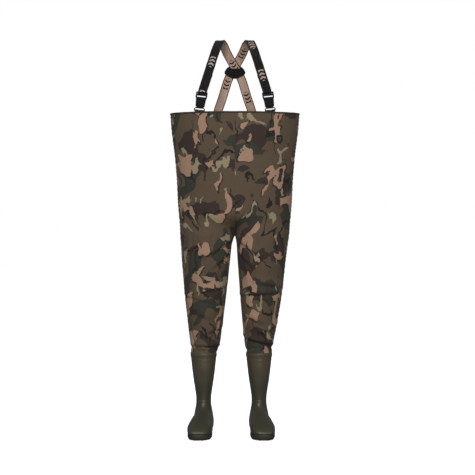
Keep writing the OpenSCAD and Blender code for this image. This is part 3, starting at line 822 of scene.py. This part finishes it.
def fold_height(side, turn, z):
    """How far the folds lift the cloth: a soft roll above each line and a tighter valley along it."""
    turn, z = turn[None, :], z[:, None]
    height = 0 * (turn + z)
    for who, middle, reach, level, rise, width, deep in FOLDS:
        if who in (0, side):
            away = (turn - middle + 0.5) % 1 - 0.5
            across = (z - level - rise * away) / width
            shape = np.exp(-(across - 1.1) ** 2) - 1.1 * np.exp(-(1.9 * across) ** 2)
            height = height + deep * shape * (1 - ease(np.abs(away) / reach))
    return height * ease((z - CUFF_Z - 0.004) / 0.014)


def cloth_piece(name, side, grid, heights, low, high):
    """A closed cloth shell of one half's grid between two heights."""
    turns = seam_turns()
    wanted = grid_rows(low, high, CLOTH_PITCH)
    rows_at = np.interp(wanted, heights, np.arange(len(heights)))
    fine = resample(grid, rows_at, turns * (grid.shape[1] - 1))
    normal = grid_normals(fine, side)
    fold = fold_height(side, turns, wanted)
    fine = fine + normal * fold[..., None]
    fine[..., 2] -= 0.5 * np.maximum(fold, 0)
    # seams: a shallow groove, drawn up into small puckers beside it
    groove = np.zeros_like(fine[..., 0])
    for centre in (0.0, 0.5, 1.0):
        gap = np.abs(turns - centre)
        dip = -0.0011 * np.exp(-(gap / 0.0035) ** 2)
        pucker = 0.0007 * np.exp(-((gap - 0.012) / 0.01) ** 2)
        wave = np.sin(wanted * 330 + 2 * np.sin(wanted * 57 + centre))
        share = 1 if centre == 0.5 else ease((wanted - 0.95) / 0.05)[:, None]
        groove += share * (dip[None, :] + pucker[None, :] * wave[:, None])
    fine = fine + normal * groove[..., None]
    rows, cols, _ = fine.shape
    inner = fine - normal * FABRIC
    for skin in (fine, inner):
        for col in (0, -1):
            skin[wanted > CROTCH_Z, col, 0] = 0
    flip = side < 0
    n = rows * cols
    outer_faces = grid_faces(rows, cols, flip)
    inner_faces = [tuple(v + n for v in f[::-1]) for f in outer_faces]
    rim = []
    for line in ([r * cols for r in range(rows)], [r * cols + cols - 1 for r in reversed(range(rows))],
                 list(reversed(range(cols))), [n - cols + c for c in range(cols)]):
        for a, b in zip(line, line[1:]):
            quad = (a, b, b + n, a + n)
            rim.append(quad[::-1] if flip else quad)
    faces = outer_faces + inner_faces + rim
    mesh = bpy.data.meshes.new(name)
    mesh.from_pydata(np.concatenate([fine.reshape(-1, 3), inner.reshape(-1, 3)]).tolist(), [], faces)
    obj = paint(smooth(new_object(name, mesh)), "camo", "lining")
    kinds = [0] * len(outer_faces) + [1] * len(inner_faces) + [0] * len(rim)
    mesh.polygons.foreach_set("material_index", kinds)
    # u is the girth from the panel's own middle, and each panel is cut from its own stretch of the print
    level = body_points(side, turns[None, :].repeat(rows, 0), wanted[:, None].repeat(cols, 1))
    girth = np.cumsum(np.linalg.norm(np.diff(level, axis=1), axis=2), axis=1)
    girth = np.concatenate([np.zeros((rows, 1)), girth], 1)
    front_middle, back_middle = [np.array([np.interp(t, turns, row) for row in girth]) for t in (0.25, 0.75)]
    row, col = np.divmod(np.array(faces) % n, cols)
    back = col.mean(axis=1, keepdims=True) > (cols - 1) / 2
    panel = (0 if side > 0 else 2) + back
    u = girth[row, col] - np.where(back, back_middle[row], front_middle[row]) + PRINT_STEP[0] * panel
    v = wanted[row] - CUFF_Z + PRINT_STEP[1] * panel
    mesh.uv_layers.new(name="cut").data.foreach_set("uv", np.stack([u, v], -1).ravel())
    bm = bmesh.new()
    bm.from_mesh(mesh)
    bmesh.ops.remove_doubles(bm, verts=bm.verts, dist=0.00005)
    bm.to_mesh(mesh)
    bm.free()
    mesh.set_sharp_from_angle(angle=math.radians(60))
    return obj


def make_fabric():
    for name, side in SIDES.items():
        grid, heights = settled_half(side)
        body = cloth_piece(name + "_body_cloth", side, grid, heights, SPLIT_Z, HEM_Z)
        lower = cloth_piece(name + "_leg_cloth", side, grid, heights, CUFF_Z, SPLIT_Z)
        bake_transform(body)
        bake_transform(lower)
        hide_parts(*[f"{name}_{f}_{k}" for f in ("front", "back")
                            for k in ("torso_panel", "thigh_panel", "hip_crease")])
        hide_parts(name + "_front_shin_panel", name + "_back_shin_panel", name + "_knee_crease")


# ---- hem, seam tapes and badge
def torso_line(z, out, count=192):
    """A ring round the torso at height z, out metres outside its surface, anticlockwise from the front."""
    a = circle(count)
    x = (TORSO_HW(z) + out) * np.sin(a)
    return np.stack([x, MID_Y - (TORSO_HD(z) + out) * np.cos(a), z + 0 * a], 1)


def make_hem():
    profile = mm([(0.4, -6.2), (1.1, -5.8), (1.3, -3), (1.3, -0.2), (0.9, 0.7), (-0.6, 1.1), (-2.1, 0.7),
                  (-2.5, -0.2), (-2.5, -9.5), (-2.3, -10.2), (-1.4, -10.2), (-1.4, -0.4), (0.2, -0.4)])
    count = 240
    rings = np.stack([torso_line(HEM_Z + up, out, count) for out, up in profile], 1)
    wave = 0.0004 * np.sin(np.arange(count) * 2 * np.pi * 11 / count) * np.sin(np.arange(count) * 0.37)
    rings[:, :, 2] += wave[:, None]
    across = [up for _, up in profile + profile[:1]]
    tape = loft("hem_tape_band", rings, closed=True, u=across, v=np.linspace(0, 1.3, count + 1))
    line = torso_line(HEM_Z - 0.0044, 0.0011)
    line = np.concatenate([line, line[:1]])
    outs = line - np.array([0, MID_Y, HEM_Z - 0.0044])
    outs[:, 1] *= 4
    seam = stitches(line, outs, 0.0042, 0.0029, 0.0003)
    place(joined("hem_binding_tape", [paint(tape, "binding"), seam]), "root", "hem_tape", "hem_binding")


def make_seam_tape(name, face):
    z = grid_rows(CROTCH_Z + RISE + 0.035, HEM_Z - 0.014, 0.006)
    section = mm([(-11, 0), (-10.6, 0.5), (-5, 0.7), (0, 0.9), (5, 0.7), (10.6, 0.5), (11, 0), (5, -0.1),
                  (-5, -0.1)])
    rings = []
    for h in z:
        row = []
        for x, deep in section:
            depth = TORSO_HD(h) * math.sqrt(1 - (x / TORSO_HW(h)) ** 2) - FABRIC - 0.0002 - deep
            row.append((x, MID_Y - face * depth, h + 0.0004 * math.sin(60 * x / 0.011 + 300 * h)))
        rings.append(row)
    tape = loft(name, rings, u=[x for x, _ in section + section[:1]], v=z)
    place(paint(tape, "seal_tape"), "root", "lining_tape", name)


def make_badge():
    """A plain shield of moulded rubber with a raised rim and three raised bars."""
    low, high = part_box("chest_badge")
    x, _, z = (low + high) / 2
    outline = mirrored([(0, -18.2), (5.2, -15.5), (10, -10.8), (13.2, -4.5), (14.3, 3.5), (14.3, 12), (12, 15),
                        (7, 16.8), (0, 17.6)])
    back = plate(outline, -0.6, 1.6, 0.4, 2)
    rim = prism("rim", outline, -1.6, -0.4)
    cut(rim, prism("hole", [(x * 0.83, z * 0.85) for x, z in outline], -10, 10))
    parts = [paint(back, "rubber"), paint(bevelled(rim, 0.4, 2), "rubber")]
    for i, w in enumerate((15, 12.5, 8)):
        bar = plate(rounded(w, 4.2 - 6.2 * i, 7 - 6.2 * i, 1.3), -1.3, 0, 0.3, 2)
        parts.append(paint(bar, "badge_mark"))
    badge = joined("shield_badge", parts)
    share = x / TORSO_HW(z)
    slope = math.sqrt(1 - share ** 2)
    turn = math.atan2(share / TORSO_HW(z), slope / TORSO_HD(z))
    out = Vector((math.sin(turn), -math.cos(turn), 0))
    where = Matrix.Translation(Vector((x, MID_Y - TORSO_HD(z) * slope, z)) + out * 0.0012)
    badge.data.transform(where @ Matrix.Rotation(turn, 4, "Z"))
    place(badge, "root", "badge_rubber", "chest_badge")


# ---- boots
UPPER_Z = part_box("left_boot_upper")[0].z
TOE_OUT = 0.09        # how much the foot points outward, as a slope
# Sections from the shaft's top to the toe: front y, front z, back y, back z, half-width, fullness
BOOT = [
    (-0.056, 0.384, 0.056, 0.384, 0.0505, 0.0), (-0.0565, 0.362, 0.0565, 0.362, 0.051, 0.0),
    (-0.0575, 0.347, 0.0575, 0.347, 0.052, 0.0), (-0.0585, 0.33, 0.059, 0.33, 0.0528, 0.0),
    (-0.058, 0.285, 0.061, 0.285, 0.0488, 0.01), (-0.053, 0.24, 0.059, 0.238, 0.043, 0.02),
    (-0.048, 0.2, 0.057, 0.195, 0.0365, 0.04), (-0.0455, 0.17, 0.057, 0.157, 0.0318, 0.05),
    (-0.046, 0.148, 0.06, 0.122, 0.0318, 0.06), (-0.05, 0.132, 0.068, 0.088, 0.0355, 0.08),
    (-0.057, 0.121, 0.074, 0.054, 0.0395, 0.12), (-0.067, 0.112, 0.07, UPPER_Z, 0.0425, 0.16),
    (-0.081, 0.104, 0.032, UPPER_Z, 0.0445, 0.22), (-0.099, 0.096, -0.014, UPPER_Z, 0.047, 0.27),
    (-0.122, 0.087, -0.064, UPPER_Z, 0.048, 0.3), (-0.147, 0.077, -0.112, UPPER_Z, 0.0498, 0.32),
    (-0.171, 0.067, -0.152, UPPER_Z, 0.0496, 0.32), (-0.191, 0.0535, -0.181, UPPER_Z, 0.0448, 0.3),
    (-0.204, 0.0405, -0.199, UPPER_Z + 0.0015, 0.035, 0.24),
    (-0.209, 0.0325, -0.207, UPPER_Z + 0.0045, 0.02, 0.1),
]
# the sole's right half from heel to toe: y, half-width
SOLE_HALF = mm([(85, 0), (83.5, 12), (77, 23.5), (66, 32.5), (48, 37.2), (10, 35.5), (-35, 33.5), (-70, 39),
                (-100, 46), (-130, 50), (-158, 49), (-180, 42.5), (-196, 32), (-206, 17.5), (-209.5, 0)])
# raised lines on the upper: height, first and last turn from its front, size
BOOT_RIBS = [(0.235, 0.04, 0.13, 0.0008), (0.225, 0.04, 0.12, 0.0006), (0.1695, -0.15, 0.15, 0.0005)]


BOOT_ROWS = 190       # rings of the upper's outside, and how many of them the ribs' heights lie among
SHAFT_ROWS = 110
AROUND = 80           # points in a ring


def boot_surface(side, inset, count):
    """The moulded upper as a grid of points: count rings, each from its front."""
    table = cubic(BOOT, np.linspace(0, len(BOOT) - 1, count))
    a = circle(AROUND)[None, :]
    fy, fz, by, bz, half, full = [table[:, k][:, None] for k in range(6)]
    mid_y, mid_z, dy, dz = (fy + by) / 2, (fz + bz) / 2, (fy - by) / 2, (fz - bz) / 2
    keep = np.maximum(0.1, 1 - inset / np.hypot(dy, dz))
    c, n = np.cos(a), np.sin(a)
    low_full = np.where(c < 0, np.minimum(0.5, full * 1.9), full)
    along = np.sign(c) * np.abs(c) ** (1 - low_full) * keep
    across = np.sign(n) * np.abs(n) ** (1 - full) * np.maximum(0.0006, half - inset)
    shift = side * TOE_OUT * np.maximum(0, -mid_y)
    return np.stack([shift + across, mid_y + dy * along, mid_z + dz * along], 2)


def closed_normals(grid):
    run = np.gradient(grid, axis=0)
    ring = np.roll(grid, -1, axis=1) - np.roll(grid, 1, axis=1)
    n = unit(np.cross(ring, run))
    middle = grid.mean(axis=1, keepdims=True)
    flip = np.sign(((grid - middle) * n).sum(axis=2).sum())
    return n * flip


def boot_details(grid):
    """Heights of the moulded ridges on the upper."""
    y, z = grid[..., 1], grid[..., 2]
    height = 0.0016 * bump(z, 0.332, 0.006) + 0.0007 * bump(z, 0.318, 0.003)
    spur = ease((y - 0.045) / 0.012)
    height = height + spur * 0.0022 * bump(z, 0.068, 0.0075)
    crease = ease((-0.02 - y) / 0.02)
    for level, deep in ((0.153, 0.0007), (0.139, 0.0006)):
        height = height - crease * deep * bump(z + 0.12 * (y + 0.045), level, 0.0045)
    return height


def moulded_rib(grid, z, first, last, size):
    """A thin raised line on the upper at height z. first and last are turns from its front."""
    level = grid[:, 0, 2]
    row = np.interp(-z, -level[:SHAFT_ROWS], np.arange(SHAFT_ROWS))
    ring = cubic(grid, [row])[0]
    count = len(ring)
    at = np.linspace(first, last, 24) * count
    line = np.stack([np.interp(at, np.arange(-count, 2 * count), np.tile(ring[:, k], 3)) for k in range(3)], 1)
    out = line - ring.mean(axis=0)
    out[:, 2] = 0
    out = unit(out)
    taper = np.minimum(1, np.minimum(np.arange(24), np.arange(24)[::-1]) / 3 + 0.15)
    rings = []
    for p, o, t in zip(line, out, taper):
        rings.append([p + o * size * t * math.cos(a) + np.array([0, 0, 1.3 * size * math.sin(a)])
                      for a in circle(8)])
    return loft("rib", rings)


def make_boot(name, side):
    body = name + "_lower_leg"
    at = Vector((float(LEG_X[side](CUFF_Z)), MID_Y, 0))
    outer = boot_surface(side, 0.0, BOOT_ROWS)
    outer = outer + closed_normals(outer) * boot_details(outer)[..., None]
    inner = boot_surface(side, 0.0026, 60)
    # one skin: up the inside from the toe, over the shaft's edge, down the outside
    edge = (outer[0] + inner[0]) / 2 + np.array([0, 0, 0.0008])
    parts = [loft("boot_skin", np.concatenate([inner[::-1], edge[None], outer]))]
    for z, first, last, size in BOOT_RIBS:
        parts.append(moulded_rib(outer, z, -side * first, -side * last, size))
    upper = smooth(joined(name + "_boot", parts))
    upper.data.transform(Matrix.Translation(at))
    place(paint(upper, "pvc"), body, "boot_pvc", name + "_boot_upper")
    make_sole(name, side, body, at)
    make_seal(name, side, body)
    make_insole_pad(name, side, body, at)


def sole_ring(side, inset, z, count=150):
    ring = mirrored([(w, y) for y, w in SOLE_HALF])
    curve = cubic(ring + ring[:1], np.linspace(0, len(ring), count, endpoint=False))
    ahead = np.roll(curve, -1, axis=0) - np.roll(curve, 1, axis=0)
    out = unit(np.stack([-ahead[:, 1], ahead[:, 0]], 1))
    if (out * (curve - curve.mean(axis=0))).sum() < 0:
        out = -out
    flat = curve - out * inset
    x = flat[:, 0] - side * TOE_OUT * np.minimum(0, flat[:, 1])
    return np.stack([x, flat[:, 1], z + toe_spring(flat[:, 1])], 1)


def toe_spring(y):
    return 0.0015 * ease((-0.15 - y) / 0.058)


def sole_half_width(y):
    ys, ws = [p[0] for p in SOLE_HALF][::-1], [p[1] for p in SOLE_HALF][::-1]
    return float(np.interp(y, ys, ws))


def make_sole(name, side, body, at):
    levels = mm([(30, 7.2), (16.5, 7.2), (14.5, 4), (11.5, 1.4), (8, 2.2), (4.5, 5.5), (1.8, 9.8), (0.4, 14.5),
                 (0, 18), (-0.3, 22.2), (0.9, 23.6), (1, 24.8), (-0.1, 26), (0.2, 29.5), (1.2, 32.5),
                 (3.4, 34.5), (8, 35), (14, 34), (30, 25.6)])
    rim = loft("sole_rim", [sole_ring(side, inset, z) for inset, z in levels])
    bm = bmesh.new()
    for y in (-0.186, -0.165, -0.144, -0.123, -0.102, -0.081, 0.022, 0.043, 0.064):
        half = sole_half_width(y) - 0.015
        lugs = 4 if half > 0.03 else 3 if half > 0.018 else 2
        pitch = 2 * half / lugs
        for k in range(lugs):
            x0, x1 = -half + k * pitch + 0.0022, -half + (k + 1) * pitch - 0.0022
            corners = []
            for x, dy in ((x0, -0.0062), (x1, -0.0062), (x1, 0.0062), (x0, 0.0062)):
                skew = 0.005 * (1 - abs(x) / half) * (1 if y < 0 else -1)
                yy = y + dy + skew
                x = np.clip(x, 0.015 - sole_half_width(yy), sole_half_width(yy) - 0.015)
                corners.append((x - side * TOE_OUT * min(0, yy), yy))
            middle = np.mean(corners, axis=0)
            top = [bm.verts.new((cx, cy, 0.0085 + toe_spring(cy))) for cx, cy in corners]
            foot = []
            for c in corners:
                fx, fy = middle + (np.array(c) - middle) * 0.84
                foot.append(bm.verts.new((fx, fy, toe_spring(fy))))
            bm.faces.new(top)
            bm.faces.new(foot[::-1])
            for j in range(4):
                bm.faces.new((top[j], top[(j + 1) % 4], foot[(j + 1) % 4], foot[j]))
    lugs = bevelled(new_object("lugs", bm_mesh(bm, "lugs")), 0.9, 2)
    sole = joined(name + "_cleated_sole", [paint(rim, "sole"), paint(lugs, "sole")])
    sole.data.transform(Matrix.Translation(at))
    place(sole, body, "boot_sole", name + "_outsole")


def make_seal(name, side, body):
    """The moulded band that grips the cuff's edge."""
    profile = mm([(-0.8, 8.5), (0.4, 8), (1, 5.5), (1.2, 1.5), (0.8, -3), (0.4, -6), (-1, -6.8), (-2.8, -4),
                  (-3.2, 2), (-2.2, 8)])
    centre = np.array([LEG_X[side](CUFF_Z), MID_Y, CUFF_Z])
    rings = []
    for t in np.linspace(0, 1, 96, endpoint=False):
        here = body_points(side, np.array(t), np.array(CUFF_Z))
        sag = 0.0007 * math.sin(6 * math.pi * t + side) + 0.0004 * math.sin(16 * math.pi * t)
        rings.append([here + unit(here - centre) * out + np.array([0, 0, up + sag - 0.003])
                      for out, up in profile])
    band = loft(name + "_cuff_seal", rings, closed=True)
    place(paint(band, "pvc"), body, "boot_pvc", name + "_boot_seal")


def make_insole_pad(name, side, body, at):
    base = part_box(name + "_insole")[0].z
    rings = []
    for inset, up in mm([(24, 0), (20.5, 0.3), (19.5, 1.5), (20, 3.3), (22, 4), (27, 3.8), (32, 3.6)]):
        ring = sole_ring(side, inset, base + up, 96)
        ring[:, 2] -= toe_spring(ring[:, 1])
        rings.append(ring)
    pad = loft(name + "_footbed", rings)
    pad.data.transform(Matrix.Translation(at))
    place(paint(pad, "insole"), body, "insole_foam", name + "_insole")


# ---- buckles, in their own frame, y to the back, in millimetres
LOCK_Z = 56
LADDER_H = 26
BAR_Z = LOCK_Z + 13.8
PRONG_X = 12.5
PRONG_Z = 25.2


def buckle_frame(name):
    up = Vector(JOINTS[name + "_buckle_release"]["axis"])
    outer = Vector(JOINTS[name + "_outer_prong_squeeze"]["pos_m"])
    inner = Vector(JOINTS[name + "_inner_prong_squeeze"]["pos_m"])
    across = (outer - inner).normalized() * SIDES[name]
    turn = Matrix((across, up.cross(across), up)).transposed().to_4x4()
    return Matrix.Translation((outer + inner) / 2 - up * PRONG_Z / 1000) @ turn


def in_plastic(name, parts, at, body, node):
    piece = joined(name, [paint(part, "plastic") for part in parts])
    piece.data.transform(at)
    place(piece, body, "buckle_plastic", node)


def make_plug(name, at):
    half = [(0, 0), (19.5, 0), (22.2, 1.2), (23.3, 4), (23, 10.5), (21.2, 14), (17.2, 15.8), (15, 17.2),
            (14.7, 25), (0, 25)]
    base = prism("base", mirrored(half), -2.8, 2.8)
    cut(base, prism("slot", rounded(39.6, 5, 12.5, 1.6), -20, 20))
    tongue = plate([(-4, 23), (4, 23), (3.4, 33), (-3.4, 33)], -1.2, 1.2, 0.4)
    ribs = [plate(rounded(20, z - 0.5, z + 0.5, 0.4), -3.3, -2, 0.2, 2) for z in (15.3, 17.6, 19.9)]
    in_plastic(name + "_plug", [bevelled(base, 0.7), tongue] + ribs, at, "root", name + "_buckle_plug")


def make_prong(name, which, at):
    out = SIDES[name] * (1 if which == "outer" else -1)
    shape = [(-1.5, 0), (1.5, 0), (2, 4), (2.3, 7), (4.6, 8.6), (5.9, 11), (6.4, 13.5), (5.2, 17),
             (2.4, 19.8), (-1.4, 19.8), (-2.4, 18.4), (-1.8, 13), (-1.6, 8), (-1.6, 4)]
    arm = plate([(out * (PRONG_X + x), PRONG_Z + z) for x, z in shape], -1.8, 1.8, 0.4)
    body = f"{name}_{which}_prong"
    in_plastic(body + "_arm", [arm], at, body, body)


def make_socket(name, at):
    half = [(0, 18.2), (14, 18.2), (16.6, 19), (18, 21.5), (18.7, 27), (19.2, 36), (20, 47), (21.4, 54),
            (22.2, 56.8), (0, 56.8)]
    shell = prism("shell", mirrored(half), -5.5, 5.5)
    hollow = [(15.7, 10), (16.6, 26), (17.6, 46), (17.6, 53)]
    cutters = [prism("hole", hollow + [(-x, z) for x, z in reversed(hollow)], -3.6, 3.6),
               prism("panel", rounded(22, 29.5, 47.5, 5), -10, -5)]
    for x in (-0.0225, 0.0225):
        window = prism("window", rounded(12, PRONG_Z + 5.5, PRONG_Z + 18.5, 2), -3.6, 3.6)
        window.data.transform(Matrix.Translation((x, 0, 0)))
        cutters.append(window)
    cut(shell, *cutters)
    ladder = prism("ladder", rounded(49, LOCK_Z - 1, LOCK_Z + LADDER_H, 3.4), -3.3, 3.3)
    cut(ladder, prism("slot", rounded(39.6, LOCK_Z + 4.5, LOCK_Z + LADDER_H - 4.5, 1.6), -20, 20))
    bar = loft("bar", [mm((x, r * math.cos(a), BAR_Z + r * math.sin(a)) for a in circle(20))
                       for x, r in ((-20.6, 2.53), (-19.1, 2.2), (19.1, 2.2), (20.6, 2.53))])
    parts = [bevelled(shell, 0.9), bevelled(ladder, 0.8), bar]
    low, high = LOCK_Z + LADDER_H - 3.8, LOCK_Z + LADDER_H - 0.8
    for k in range(7):
        x = (k - 3) * 4.2
        grip = [(x - 0.8, low), (x + 0.8, low), (x + 0.8, high), (x - 0.8, high)]
        parts.append(plate(grip, -3.8, -2, 0.3, 2))
    in_plastic(name + "_socket", parts, at, name + "_buckle_socket", name + "_buckle_socket")


# ---- webbing
# The band's section, as shares of its width and thickness: an edge and the outer face, then both turned round
SECTION = [(-0.5, -0.2), (-0.5, 0.2), (-0.488, 0.44), (-0.47, 0.5), (-0.3, 0.5), (-0.1, 0.5), (0.1, 0.5),
           (0.3, 0.5), (0.47, 0.5), (0.488, 0.44)]
SECTION += [(-a, -o) for a, o in SECTION]


def webbing(name, line, normals, shift=0.0, start=0.0, seed=0.0):
    """Flat webbing along a line. normals are the directions that its outer face looks in."""
    line = np.asarray(line, float)
    ahead = unit(np.gradient(line, axis=0))
    across = unit(np.cross(ahead, normals))
    out = np.cross(across, ahead)
    run = run_of(line)
    line = line + out * np.reshape(shift, (-1, 1))
    rings = np.empty((len(line), len(SECTION), 3))
    for j, (a, o) in enumerate(SECTION):
        wavy = 0.00025 * a * np.sin(run * 90 + seed + 5 * a)
        rings[:, j] = line + across * a * WEB_W + out * (o * WEB_T + wavy)[:, None]
    u = [a * WEB_W for a, _ in SECTION + SECTION[:1]]
    strap = paint(loft(name, rings, u=u, v=run + start), "web_outer", "web_inner")
    for face in strap.data.polygons:
        columns = [v % len(SECTION) for v in face.vertices]
        inner = all(c >= 11 or c == 0 for c in columns)
        face.material_index = 1 if inner and len(columns) == 4 else 0
    return strap


def side_facing(line, yaw):
    """Outer directions of webbing that is level from side to side, turned yaw degrees about the vertical."""
    ahead = unit(np.gradient(np.asarray(line, float), axis=0))
    n = unit(np.cross([1.0, 0.0, 0.0], ahead))
    c, s = np.cos(np.radians(yaw)), np.sin(np.radians(yaw))
    return np.stack([n[:, 0] * c - n[:, 1] * s, n[:, 0] * s + n[:, 1] * c, n[:, 2]], 1)


# places behind the buckle's middle, in millimetres: the strap, and its loose tail behind it
STRAP_Y = 4.5
TAIL_Y = 7.2
WRAP_TOP = LOCK_Z + LADDER_H + 5
LOCK_JOIN = BAR_Z + 10      # where the straps start, hidden behind the lock's top bar
SHOULDER = (0.06, 0.0, 1.656)
STRAIGHT_END = (0.095, -0.088, 1.558)
TAIL_LENGTH = 0.076


def at_side(side, p):
    return np.array([side * p[0], MID_Y + p[1], p[2]])


def in_lock(at, back, up):
    """A place in the buckle's frame, from millimetres."""
    return np.array(at @ Vector((0, back / 1000, up / 1000)))


def strap_aim(side, at):
    return unit(at_side(side, STRAIGHT_END) - in_lock(at, STRAP_Y, WRAP_TOP))


def out_of_lock(side, at, back, route):
    """A strap's line and outer directions from inside the ladder lock on along a route."""
    low, high = in_lock(at, back, LOCK_JOIN), in_lock(at, back, WRAP_TOP)
    line = even([low, (low + high) / 2, high] + route, WEB_PITCH)
    lock_out = np.array(at.to_3x3() @ Vector((0, -1, 0)))
    yaw = side * 12 * (1 - ease((line[:, 2] - 1.558) / 0.06))
    part = ease(((line - high) @ strap_aim(side, at) + 0.004) / 0.03)[:, None]
    return line, unit(lock_out * (1 - part) + side_facing(line, yaw) * part)


def make_front_strap(name, side, at):
    start, end, top = in_lock(at, STRAP_Y, WRAP_TOP), at_side(side, STRAIGHT_END), at_side(side, SHOULDER)
    route = [start + (end - start) * k / 6 for k in range(1, 6)]
    route += [end, at_side(side, (0.078, -0.058, 1.613)), at_side(side, (0.065, -0.022, 1.648)), top]
    line, outs = out_of_lock(side, at, STRAP_Y, route)
    strap = webbing(name + "_front_brace", line, outs, start=0.05 + 0.03 * side, seed=side)
    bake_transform(strap)
    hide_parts(name + "_front_strap")


def make_wrap(name, at):
    """The webbing's way through the ladder lock."""
    path = [(STRAP_Y, LOCK_JOIN + 1), (STRAP_Y, BAR_Z + 7), (STRAP_Y - 0.6, BAR_Z + 4.6), (2.2, BAR_Z + 3.5)]
    for a in range(90, 271, 20):
        path.append((3.4 * math.cos(math.radians(a)), BAR_Z + 3.4 * math.sin(math.radians(a))))
    path += [(3.5, BAR_Z - 3.4), (6, BAR_Z - 2.6), (TAIL_Y, BAR_Z), (TAIL_Y, BAR_Z + 6),
             (TAIL_Y, LOCK_JOIN + 1)]
    loop_of_webbing(name + "_lock_loop", path, at, name + "_buckle_socket", name + "_strap_wrap")


def loop_of_webbing(piece, path, at, body, node):
    """Webbing bent along a (back, up) path in the buckle's frame, in millimetres."""
    local = even(mm((0, y, z) for y, z in path), 0.0008)
    outs = -np.cross([1.0, 0.0, 0.0], unit(np.gradient(local, axis=0)))
    line = np.array([at @ Vector(p) for p in local])
    strap = webbing(piece, line, outs @ np.array(at.to_3x3()).T, start=0.4, seed=2.0)
    place(strap, body, "webbing", node)


def make_tail(name, side, at):
    """The strap's loose end, which lengthens as the lock is pulled up it, turned over and sewn at its tip."""
    aim = strap_aim(side, at)
    high = in_lock(at, TAIL_Y, WRAP_TOP)
    line, outs = out_of_lock(side, at, TAIL_Y, [high + aim * TAIL_LENGTH * k / 8 for k in range(1, 9)])
    strap = webbing("strap", line, outs, start=0.2, seed=4.0)
    hem = even(line[-5:] + outs[-5:] * -0.0019, 0.002)
    fold = webbing("fold", hem, np.repeat(outs[-1:], len(hem), 0), start=0.3)
    across = unit(np.cross(aim, outs[-1]))
    row = [line[-4] + across * (k - 10) * 0.0016 + outs[-1] * WEB_T / 2 for k in range(21)]
    sewn = stitches(row, np.repeat(outs[-1:], 21, 0), 0.0032, 0.0022)
    piece = smooth(joined(name + "_loose_tail", [strap, fold, sewn]))
    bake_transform(piece)
    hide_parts(name + "_strap_tail")


def make_tab(name, at):
    """The short webbing that holds the plug: up inside the hem, over the plug's bar and back under it."""
    path = [(1.8, -52), (2.8, -28), (4, -6), (4.2, 0), (4.2, 4.2), (3.2, 6), (1.2, 6.5), (-1.2, 6.5), (-3.2, 6),
            (-4.2, 4.2), (-4.2, 1.4), (-3.4, -0.4), (-1.4, -1.4), (1, -1.4), (2.4, -1)]
    loop_of_webbing(name + "_hem_tab", path, at, "root", name + "_chest_tab")


def back_depth(z):
    """y of the hem's inside where the back straps are sewn to it."""
    return float(TORSO_HD(z) * math.sqrt(1 - (0.094 / TORSO_HW(z)) ** 2) - 0.0056)


def make_back_strap(name, side):
    hem_y = back_depth(HEM_Z)
    low = HEM_Z - 0.045
    route = [SHOULDER, (0.049, 0.03, 1.643), (0.032, 0.06, 1.607), (0.01, 0.08, 1.569), (-0.012, 0.089, 1.534),
             (-0.031, 0.096, 1.494), (-0.053, hem_y - 0.014, 1.424), (-0.075, hem_y, HEM_Z + 0.007),
             (-0.076, back_depth(low), low)]
    line = even([at_side(side, p) for p in route], WEB_PITCH)
    yaw = side * 8 * ease((HEM_Z + 0.06 - line[:, 2]) / 0.06)
    lift = side * 0.00115 * ease(np.arange(len(line)) * WEB_PITCH / 0.05)
    strap = webbing(name + "_back_brace", line, side_facing(line, yaw), lift, start=0.03 * side, seed=3 * side)
    place(strap, "root", "webbing", name + "_back_strap")


def make_patch(name, front, node):
    """One leather face of the patch that holds the crossing, with its sewn line."""
    top = [(0, 26.8), (14, 26.8), (23.5, 25.5), (31.5, 20.5), (38.5, 12.5)]
    if front:
        top = [(0, 16.5), (12, 16.6), (23, 16.6), (31.5, 15.5), (38.5, 11.2)]
    ring = mirrored(top + [(43.8, 3), (44, -3.5), (40, -9.5), (30, -15.5), (20, -20.5), (11.5, -25.5),
                           (6, -26.8), (0, -26.8)])
    outline = cubic(ring + ring[:1], np.linspace(0, len(ring), 120, endpoint=False))
    near, far = (-5.8, -3.6) if front else (3.6, 5.8)
    leather = paint(plate(outline, near, far, 0.6), "leather")
    face, out, middle = (near, -1.0, -4) if front else (far, 1.0, 0)
    loop = np.concatenate([outline, outline[:1]])
    sewn_line = mm((x * 0.915, face, middle + (z - middle) * 0.86) for x, z in loop)
    sewn = stitches(sewn_line, np.tile([0.0, out, 0.0], (len(loop), 1)), 0.0036, 0.0025)
    piece = joined(name, [leather, sewn])
    low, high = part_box(node)
    centre = Vector((0, MID_Y + 0.089, (low.z + high.z) / 2 + (0.006 if front else 0.003)))
    piece.data.transform(Matrix.Translation(centre) @ Matrix.Rotation(math.radians(11), 4, "X"))
    place(piece, "root", "patch_leather", node)


def make_braces():
    for name, side in SIDES.items():
        at = buckle_frame(name)
        make_plug(name, at)
        make_prong(name, "outer", at)
        make_prong(name, "inner", at)
        make_socket(name, at)
        make_tab(name, at)
        make_wrap(name, at)
        make_front_strap(name, side, at)
        make_tail(name, side, at)
        make_back_strap(name, side)
    make_patch("cross_patch_front", True, "inner_cross_patch")
    make_patch("cross_patch_back", False, "outer_cross_patch")


make_camera()
make_stage()
make_fabric()
make_hem()
make_seam_tape("front_seam_tape", 1)
make_seam_tape("back_seam_tape", -1)
make_badge()
for boot_name, boot_side in SIDES.items():
    make_boot(boot_name, boot_side)
make_braces()
